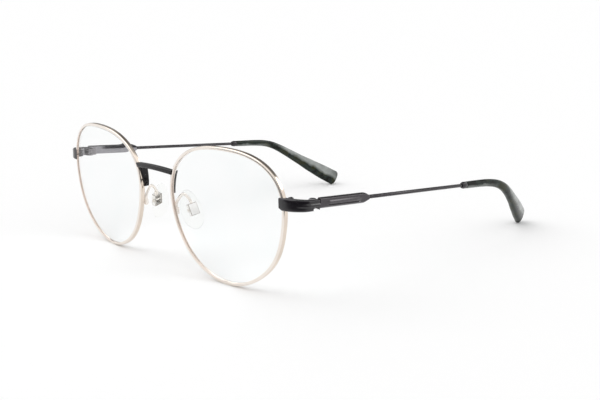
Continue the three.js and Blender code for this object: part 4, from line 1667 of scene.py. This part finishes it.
        rings = [ring(first, first.point, keep) for keep in self.tip_start_keeps]
        broken = first.point + first.ahead * self.tip_break
        rings.append(ring(first, broken, self.tip_break_keep))
        full = (s for s in stations[1:] if total - s.travelled > self.tip_round)
        rings += [ring(station, station.point, 1.0) for station in full]
        for i in range(self.tip_round_steps + 1):
            turn = i / self.tip_round_steps * math.pi / 2
            point = last.point - last.ahead * (self.tip_round * (1 - math.sin(turn)))
            ended = i == self.tip_round_steps
            keep = self.tip_end_keep if ended else math.cos(turn) ** self.tip_round_power
            rings.append(ring(last, point, keep))
        return lofted("temple_tip", rings, smooth_angle=50)

    def wire(self) -> Piece:
        """Draw the wire from its socket through the collar into the tip."""
        front, radius = self.block_end - self.socket + SEAT_GAP, self.wire_radius
        ends = [
            (front, radius * self.wire_break_share), (front + self.wire_break, radius),
            ((front + self.collar_start) / 2, radius),
            (self.collar_start - self.core_step, radius),
            (self.collar_start - SEAT_GAP, self.core_radius),
        ]
        rings = [
            self.across(y, oval(size * 2, size * 2, self.wire_sides), self.wire_x)
            for y, size in ends
        ]
        core = oval(self.core_radius * 2, self.core_radius * 2, self.wire_sides)
        rings += [s.ring(core) for s in self.tip_path() if s.travelled <= self.core_length]
        return lofted("temple_wire", rings, smooth_angle=50)

    def collar(self) -> Piece:
        """Turn the collar that closes the front of the tip."""
        start, end, neck = self.collar_start, self.tip_start - SEAT_GAP, self.collar_length / 3
        profile = [
            (start, 0.7), (start + self.collar_break, 0.8), (start + neck * 0.6, 0.9),
            (start + neck, 0.99), (start + neck * 1.3, 1.0), (end - self.collar_break, 1.0),
            (end, 0.93),
        ]
        bore = (self.core_radius + BORE_GAP) * 2
        sizes = [
            (start, bore, bore),
            *((y, self.collar_width * share, self.collar_height * share) for y, share in profile),
            (end, bore, bore),
        ]
        rings = [
            self.across(y, oval(width, height, self.collar_sides), self.wire_x)
            for y, width, height in sizes
        ]
        return Loft("tip_collar", rings[0]).grow(*rings[1:]).looped(rings[0])

    def build(self) -> None:
        """Build and dress both temples."""
        self.pair("temple_block", self.block(), Finish.SMOKED, Body.TEMPLE)
        self.pair("temple_wire", self.wire(), Finish.DARK_WIRE, Body.TEMPLE)
        self.pair("tip_collar", self.collar(), Finish.BLACK, Body.TEMPLE)
        self.pair("temple_tip", self.tip(), Finish.ACETATE, Body.TEMPLE)


# ---------------------------------------------------------------- nose pads and bridge


@dataclass
class NosePads(SubAssembly):
    """Pad arms, their boxes and screws, and the clear pads."""

    eyewires: Eyewires
    wire_radius: float = 0.48
    wire_sides: int = 20
    arm_steps: int = 48
    foot_length: float = 2.0
    foot_width: float = 1.1
    foot_depth: float = 1.04
    foot_drop: float = 2.3
    foot_rounding: float = 0.2
    foot_edge: float = 0.1
    loop_rise: float = 2.75
    loop_reach: float = 2.3
    inset: float = 1.45
    back: float = 6.95
    drop: float = 2.25
    box_width: float = 2.9
    box_height: float = 3.9
    box_depth: float = 1.9
    box_wall: float = 0.35
    box_edge: float = 0.16
    box_sink: float = 0.2
    flat: float = 0.98
    frontal: float = 15.0
    splay: float = 14.0
    slope: float = 12.0
    length: float = 13.0
    width: float = 7.2
    thickness: float = 2.1
    taper: float = 0.12
    lip: float = 0.25
    front_rows: tuple[Point2, ...] = ((0.2, 0.0), (0.55, 0.0), (0.86, 0.0), (0.95, 0.08))
    crown_steps: int = 8
    last_row: float = 0.12
    pad_sides: int = 64
    boss: Triple = (1.3, 1.95, 2.95)
    boss_rounding: float = 0.4
    corner_steps: int = 4
    screw: Screw = Screw(0.35, 0.62, 0.35)

    @property
    def place(self) -> Matrix:
        """Frame of the left pad: X from the nose to the box, Z along the pad."""
        x = self.eyewires.lens.spacing / 2 + self.inset
        turn = (
            turn_about("Z", -self.splay) @ turn_about("Y", -self.frontal)
            @ turn_about("X", self.slope)
        )
        return Matrix.Translation((x, self.back, -self.drop)) @ turn

    def box(self) -> Piece:
        """Fold the pad box, open towards the pad."""
        clear_selection()
        bpy.ops.mesh.primitive_cube_add(size=MM)
        piece = named(bpy.context.active_object, "pad_box")
        size = (self.box_depth, self.box_width, self.box_height)
        inside = {"value": ((self.box_depth - self.box_wall) * MM, 0, 0)}
        with editing(piece):
            bpy.ops.transform.resize(value=size, center_override=(0, 0, 0))
            bpy.ops.mesh.select_mode(type="FACE")
            bpy.ops.mesh.select_all(action="DESELECT")
            for face in bmesh.from_edit_mesh(piece.data).faces:
                face.select = face.normal.x < -self.flat
            bmesh.update_edit_mesh(piece.data)
            bpy.ops.mesh.inset(thickness=self.box_wall * MM, depth=0)
            bpy.ops.mesh.extrude_region_move(TRANSFORM_OT_translate=inside)
            bpy.ops.mesh.select_mode(type="VERT")
        soften_edges(piece, self.box_edge)
        self.palette.coat(piece, Finish.PAD_STEEL, Finish.EDGE_STEEL)
        # Painted shade: the rounded edges take the darker copy of the steel.
        for face in piece.data.polygons:
            face.material_index = int(max(abs(part) for part in face.normal) < self.flat)
        scale = Matrix.Scale(MM, 4)
        standing = Matrix.Translation(STANDING * MM)
        piece.data.transform(standing @ scale @ self.place @ scale.inverted())
        close_skin(piece)
        return piece

    def pad(self) -> Piece:
        """Mould the pad: a crowned oval with its boss."""
        back, steps = -self.box_depth / 2 - SEAT_GAP, self.crown_steps
        rows = list(self.front_rows)
        for i in range(steps + 1):
            turn = i / steps * math.pi / 2
            lift = (self.lip + (1 - self.lip) * math.sin(turn)) * self.thickness
            rows.append((math.sqrt(math.cos(turn)) if i < steps else self.last_row, lift))
        rings = []
        for share, lift in rows:
            ring = []
            for i in range(self.pad_sides):
                angle = i / self.pad_sides * FULL_TURN
                c, s = math.cos(angle), math.sin(angle)
                across = self.width / 2 * share * c / (1 + self.taper * s)
                ring.append(self.place @ Vector((back - lift, across, self.length / 2 * share * s)))
            rings.append(ring)
        pad = lofted("nose_pad", rings, smooth_angle=60)
        depth, width, height = self.boss
        corners = rectangle(width / 2, height / 2)
        outline = filleted(corners, self.boss_rounding, self.corner_steps)
        boss = lofted("boss", [
            [self.place @ Vector((x, y, z)) for y, z in outline]
            for x in (back - self.thickness / 2, back + depth)
        ])
        combine(pad, boss, "UNION")
        close_skin(pad, merge=True, smooth_angle=50)
        return pad

    def arm(self) -> Piece:
        """Bend the arm from its foot on the rim over to the box."""
        wire, lens = self.eyewires, self.eyewires.lens
        u = lens.edge(math.pi, wire.middle)[0]
        depth = wire.depth / 2 + SEAT_GAP + self.foot_depth / 2
        foot = lens.place @ Vector((u, u * u / (2 * lens.curve_radius) + depth, -self.foot_drop))
        half, tall = self.wire_radius / 2, self.box_height / 2
        path = catmull([
            foot + Vector((0, 0, -self.foot_length / 2)), foot,
            foot + Vector((-half, 0, self.foot_drop)),
            foot + Vector((half, self.loop_reach, self.foot_drop + self.loop_rise)),
            self.place @ Vector((0, 0, tall + self.foot_length / 2)),
            self.place @ Vector((0, 0, tall - self.box_sink)),
        ])
        section = oval(self.wire_radius * 2, self.wire_radius * 2, self.wire_sides)
        stations = carried(evenly(path, self.arm_steps), Vector((1, 0, 0)))
        arm = lofted("pad_arm", [s.ring(section) for s in stations], smooth_angle=50)
        corners = rectangle(self.foot_width / 2, self.foot_depth / 2)
        outline = filleted(corners, self.foot_rounding, self.corner_steps)
        end = self.foot_length / 2
        shoe = slab("shoe", outline, -end, end, Matrix.Translation(foot), self.foot_edge)
        return joined("pad_arm", arm, shoe)

    def build(self) -> None:
        """Build and dress the arms, boxes, pads and their screws."""
        self.pair("pad_arm", self.arm(), Finish.ARM_PLATE)
        self.pair("pad_box", self.box(), Finish.PAD_STEEL)
        self.pair("nose_pad", self.pad(), Finish.SILICONE)
        place = self.place @ Matrix.Translation((-self.box_wall / 2, 0, 0)) @ turn_about("X", 90)
        half = self.box_width / 2
        screw = self.screw.turned("pad_screw", place, -half, half + SEAT_GAP)
        self.pair("pad_screw", screw, Finish.STEEL)


@dataclass
class Bridge(SubAssembly):
    """Arched bar between the rims, with a leg down the nose side of each."""

    eyewires: Eyewires
    height: float = 1.6
    depth: float = 1.7
    rounding: float = 0.45
    edge: float = 0.06
    end_angle: float = 151.7
    arch: float = 0.5
    bow: float = 0.45
    steps: int = 40
    trim_depth: float = 4.0
    leg_thickness: float = 0.55
    leg_taper: float = 0.25
    leg_top: float = 153.0
    leg_bottom: float = 171.0
    leg_top_rear: float = 2.3
    leg_bottom_rear: float = 1.85
    leg_top_front: float = 0.4
    leg_bottom_front: float = 0.3
    leg_rounding: float = 0.14
    leg_steps: int = 28

    def bar(self) -> Piece:
        """Bend the bar between the rims."""
        end = self.eyewires.lens.at(math.radians(self.end_angle), self.eyewires.inner, 0.0)
        over = Vector((0, end.y - self.bow * 2, end.z + self.arch * 2))
        path = bezier(Vector((-end.x, end.y, end.z)), over, end)
        section = filleted(rectangle(self.depth / 2, self.height / 2), self.rounding, 5)
        stations = carried(evenly(path, self.steps), UP)
        return lofted("bridge", [station.ring(section) for station in stations])

    def leg(self, mirror: bool) -> Piece:
        """Forge the leg that lies on the nose side of a rim.

        Args:
            mirror: Whether it is the right-hand leg.

        Returns:
            The leg, before it is joined to the bar.
        """
        near, rings = self.eyewires.outer + SEAT_GAP, []
        for i in range(self.leg_steps + 1):
            share = i / self.leg_steps
            angle = math.radians(self.leg_top + (self.leg_bottom - self.leg_top) * share)
            eased = share * share * (3 - 2 * share)
            front = -self.leg_top_front + (self.leg_top_front + self.leg_bottom_front) * eased
            rear = self.leg_top_rear + (self.leg_bottom_rear - self.leg_top_rear) * share
            far = near + self.leg_thickness * (1 - self.leg_taper * max(0.0, share * 6 - 5))
            corners = [(near, front), (far, front), (far, rear), (near, rear)]
            outline = filleted(corners, self.leg_rounding)
            ring = [self.eyewires.lens.at(angle, offset, depth) for offset, depth in outline]
            rings.append(flipped(ring) if mirror else ring)
        return lofted("leg", rings)

    def build(self) -> None:
        """Join the bar and legs, trim them round the rims and dress them."""
        bridge = self.bar()
        for mirror in (False, True):
            combine(bridge, self.leg(mirror), "UNION")
        for mirror in (False, True):
            trimmer = self.eyewires.envelope(-self.trim_depth, self.trim_depth, mirror)
            combine(bridge, trimmer, "DIFFERENCE")
        soften_edges(bridge, self.edge, segments=2, angle=50)
        close_skin(bridge, merge=True, smooth_angle=45)
        self.fit(bridge, "bridge", Finish.BRIDGE_BLACK, Body.FRONT.value)


# ---------------------------------------------------------------- studio


def mirroring(sheet: NodeSheet, path: Node) -> Socket:
    """Whether a ray comes straight from a mirroring surface, and not through glass.

    Args:
        sheet: The sheet that is written on.
        path: A Light Path node.

    Returns:
        A socket that is 1 for such a ray, and 0 otherwise.
    """
    mirror, glass = path.outputs["Is Glossy Ray"], path.outputs["Is Transmission Ray"]
    return sheet.math("SUBTRACT", mirror, glass, clamp=True)


def from_angle(azimuth: float, height: float) -> Vector:
    """Direction at an azimuth from the front towards the left, and a height, in degrees."""
    around, level = math.radians(azimuth), math.cos(math.radians(height))
    return Vector((
        math.sin(around) * level, -math.cos(around) * level, math.sin(math.radians(height)),
    ))


@dataclass(frozen=True)
class Lamp:
    """A broad soft lamp, far away, that may show in mirroring surfaces only."""

    name: str
    strength: float
    spread: float
    azimuth: float
    height: float
    glint: bool = False

    def hang(self) -> None:
        """Hang the lamp."""
        data = bpy.data.lights.new(self.name, "SUN")
        data.energy = self.strength
        data.angle = math.radians(self.spread)
        lamp = bpy.data.objects.new(self.name, data)
        bpy.context.scene.collection.objects.link(lamp)
        lamp.visible_diffuse = lamp.visible_transmission = not self.glint
        away = from_angle(self.azimuth, self.height)
        lamp.matrix_world = away.to_track_quat("Z", "Y").to_matrix().to_4x4()


@dataclass(frozen=True)
class Flag:
    """Dark flag that only mirroring surfaces see: its direction, soft edge and level."""

    direction: Triple
    near: float
    far: float
    level: float

    def shade(self, sheet: NodeSheet, away: Socket) -> Socket:
        """How bright a direction stays.

        Args:
            sheet: The world's sheet.
            away: Direction of the ray.

        Returns:
            A socket that is 1 away from the flag and its level within it.
        """
        facing = sheet.dot(away, Vector(self.direction).normalized())
        low, high = (math.cos(math.radians(angle)) for angle in (self.far, self.near))
        return sheet.span(facing, low, high, 1.0, self.level, "SMOOTHSTEP")


@dataclass(frozen=True)
class Studio:
    """Pale floor, soft light and the camera."""

    floor_size: float = 60.0
    floor_tone: Triple = (254, 254, 254)
    floor_roughness: float = 0.9
    # Painted dark reflection in the floor, which only mirroring surfaces see: its direction, soft
    # edge and level.
    dark_reflection_towards: Triple = (0.64, -0.77, 0.0)
    dark_reflection_edge: Point2 = (0.15, 0.2)
    dark_reflection_level: float = 0.05
    camera_place: Triple = (263.0166, -164.5675, 69.0675)
    yaw: float = 0.8615
    pitch: float = 0.2248
    roll: float = -0.0258
    focal_length: float = 58.35
    sensor_width: float = 36.0
    clip: Point2 = (0.01, 200.0)
    world_level: float = 0.7
    flags: tuple[Flag, ...] = (
        Flag((-0.15, 0.57, 0.8), 24.0, 38.0, 0.18),
        Flag((0.76, -0.6, 0.25), 24.0, 40.0, 0.12),
        Flag((-0.8, 0.55, 0.3), 16.0, 30.0, 0.3),
    )
    lamps: tuple[Lamp, ...] = (
        Lamp("key", 0.78, 60, -50, 50),
        Lamp("fill", 0.42, 90, 70, 60),
        Lamp("strip", 0.38, 26, 146, 34, glint=True),
    )

    def floor(self) -> None:
        """Lay the floor, with a painted dark reflection that mirroring surfaces see towards the
        camera.
        """
        clear_selection()
        bpy.ops.mesh.primitive_plane_add(size=self.floor_size, location=(0, 0, 0))
        floor = bpy.context.active_object
        floor.name = "floor"
        sheet = MaterialSheet("pale_floor")
        dark_reflection = sheet.span(sheet.dot(sheet.place, self.dark_reflection_towards), *self.dark_reflection_edge)
        shown = sheet.math("MULTIPLY", dark_reflection, mirroring(sheet, sheet.add("LightPath")))
        pale = rgba(*self.floor_tone)
        dark = tuple(value * self.dark_reflection_level for value in pale[:3])
        sheet.dress(
            Base_Color=sheet.mix(shown, pale, (*dark, 1.0)),
            Roughness=self.floor_roughness,
            Specular_IOR_Level=0.0,
        )
        floor.data.materials.append(sheet.material)

    def world(self) -> None:
        """Light the scene evenly, show white to the camera and flags to mirroring surfaces."""
        world = bpy.data.worlds.new("studio")
        bpy.context.scene.world = world
        world.use_nodes = True
        sheet = NodeSheet(world.node_tree)
        path, away = sheet.add("LightPath"), sheet.add("TexCoord").outputs["Generated"]
        mirrored_level: object = 1.0
        for flag in self.flags:
            mirrored_level = sheet.math("MULTIPLY", mirrored_level, flag.shade(sheet, away))
        eyes, glass = path.outputs["Is Camera Ray"], path.outputs["Is Transmission Ray"]
        plain = sheet.math("MAXIMUM", eyes, glass)
        shown = sheet.row("Mix", {"data_type": "FLOAT"}, mirroring(sheet, path))
        sheet.feed(shown, 2, sheet.span(plain, 0.0, 1.0, self.world_level, 1.0))
        sheet.feed(shown, 3, mirrored_level)
        back = sheet.add("Background", Color=(1, 1, 1, 1), Strength=shown.outputs[0])
        sheet.add("OutputWorld", Surface=back.outputs[0])

    def camera(self) -> None:
        """Set the camera at the photograph's view."""
        data = bpy.data.cameras.new("camera")
        data.lens = self.focal_length
        data.sensor_width = self.sensor_width
        data.clip_start, data.clip_end = self.clip
        camera = bpy.data.objects.new("camera", data)
        bpy.context.scene.collection.objects.link(camera)
        level = math.cos(self.pitch)
        forward = Vector((
            -math.sin(self.yaw) * level, math.cos(self.yaw) * level, -math.sin(self.pitch),
        ))
        right = Vector((math.cos(self.yaw), math.sin(self.yaw), 0))
        up = right.cross(forward)
        c, s = math.cos(self.roll), math.sin(self.roll)
        across, over = right * c + up * s, up * c - right * s
        turn = Matrix((across, over, -forward)).transposed().to_4x4()
        camera.matrix_world = Matrix.Translation(stand(Vector(self.camera_place))) @ turn
        bpy.context.scene.camera = camera

    def build(self) -> None:
        """Set up the whole studio."""
        bpy.context.scene.view_settings.view_transform = "Standard"
        self.camera()
        self.floor()
        self.world()
        for lamp in self.lamps:
            lamp.hang()
        LOG.info("studio ready")


def main() -> None:
    """Build the frame's pieces in order, then the studio."""
    logging.basicConfig(level=logging.INFO, format="%(name)s: %(message)s")
    palette = Palette()
    eyewires = Eyewires(palette)
    eyewires.build()
    corner = Corner(palette, eyewires)
    corner.build()
    Temples(palette, corner).build()
    NosePads(palette, eyewires).build()
    Bridge(palette, eyewires).build()
    Studio().build()
    clear_selection()


if __name__ == "__main__":
    main()
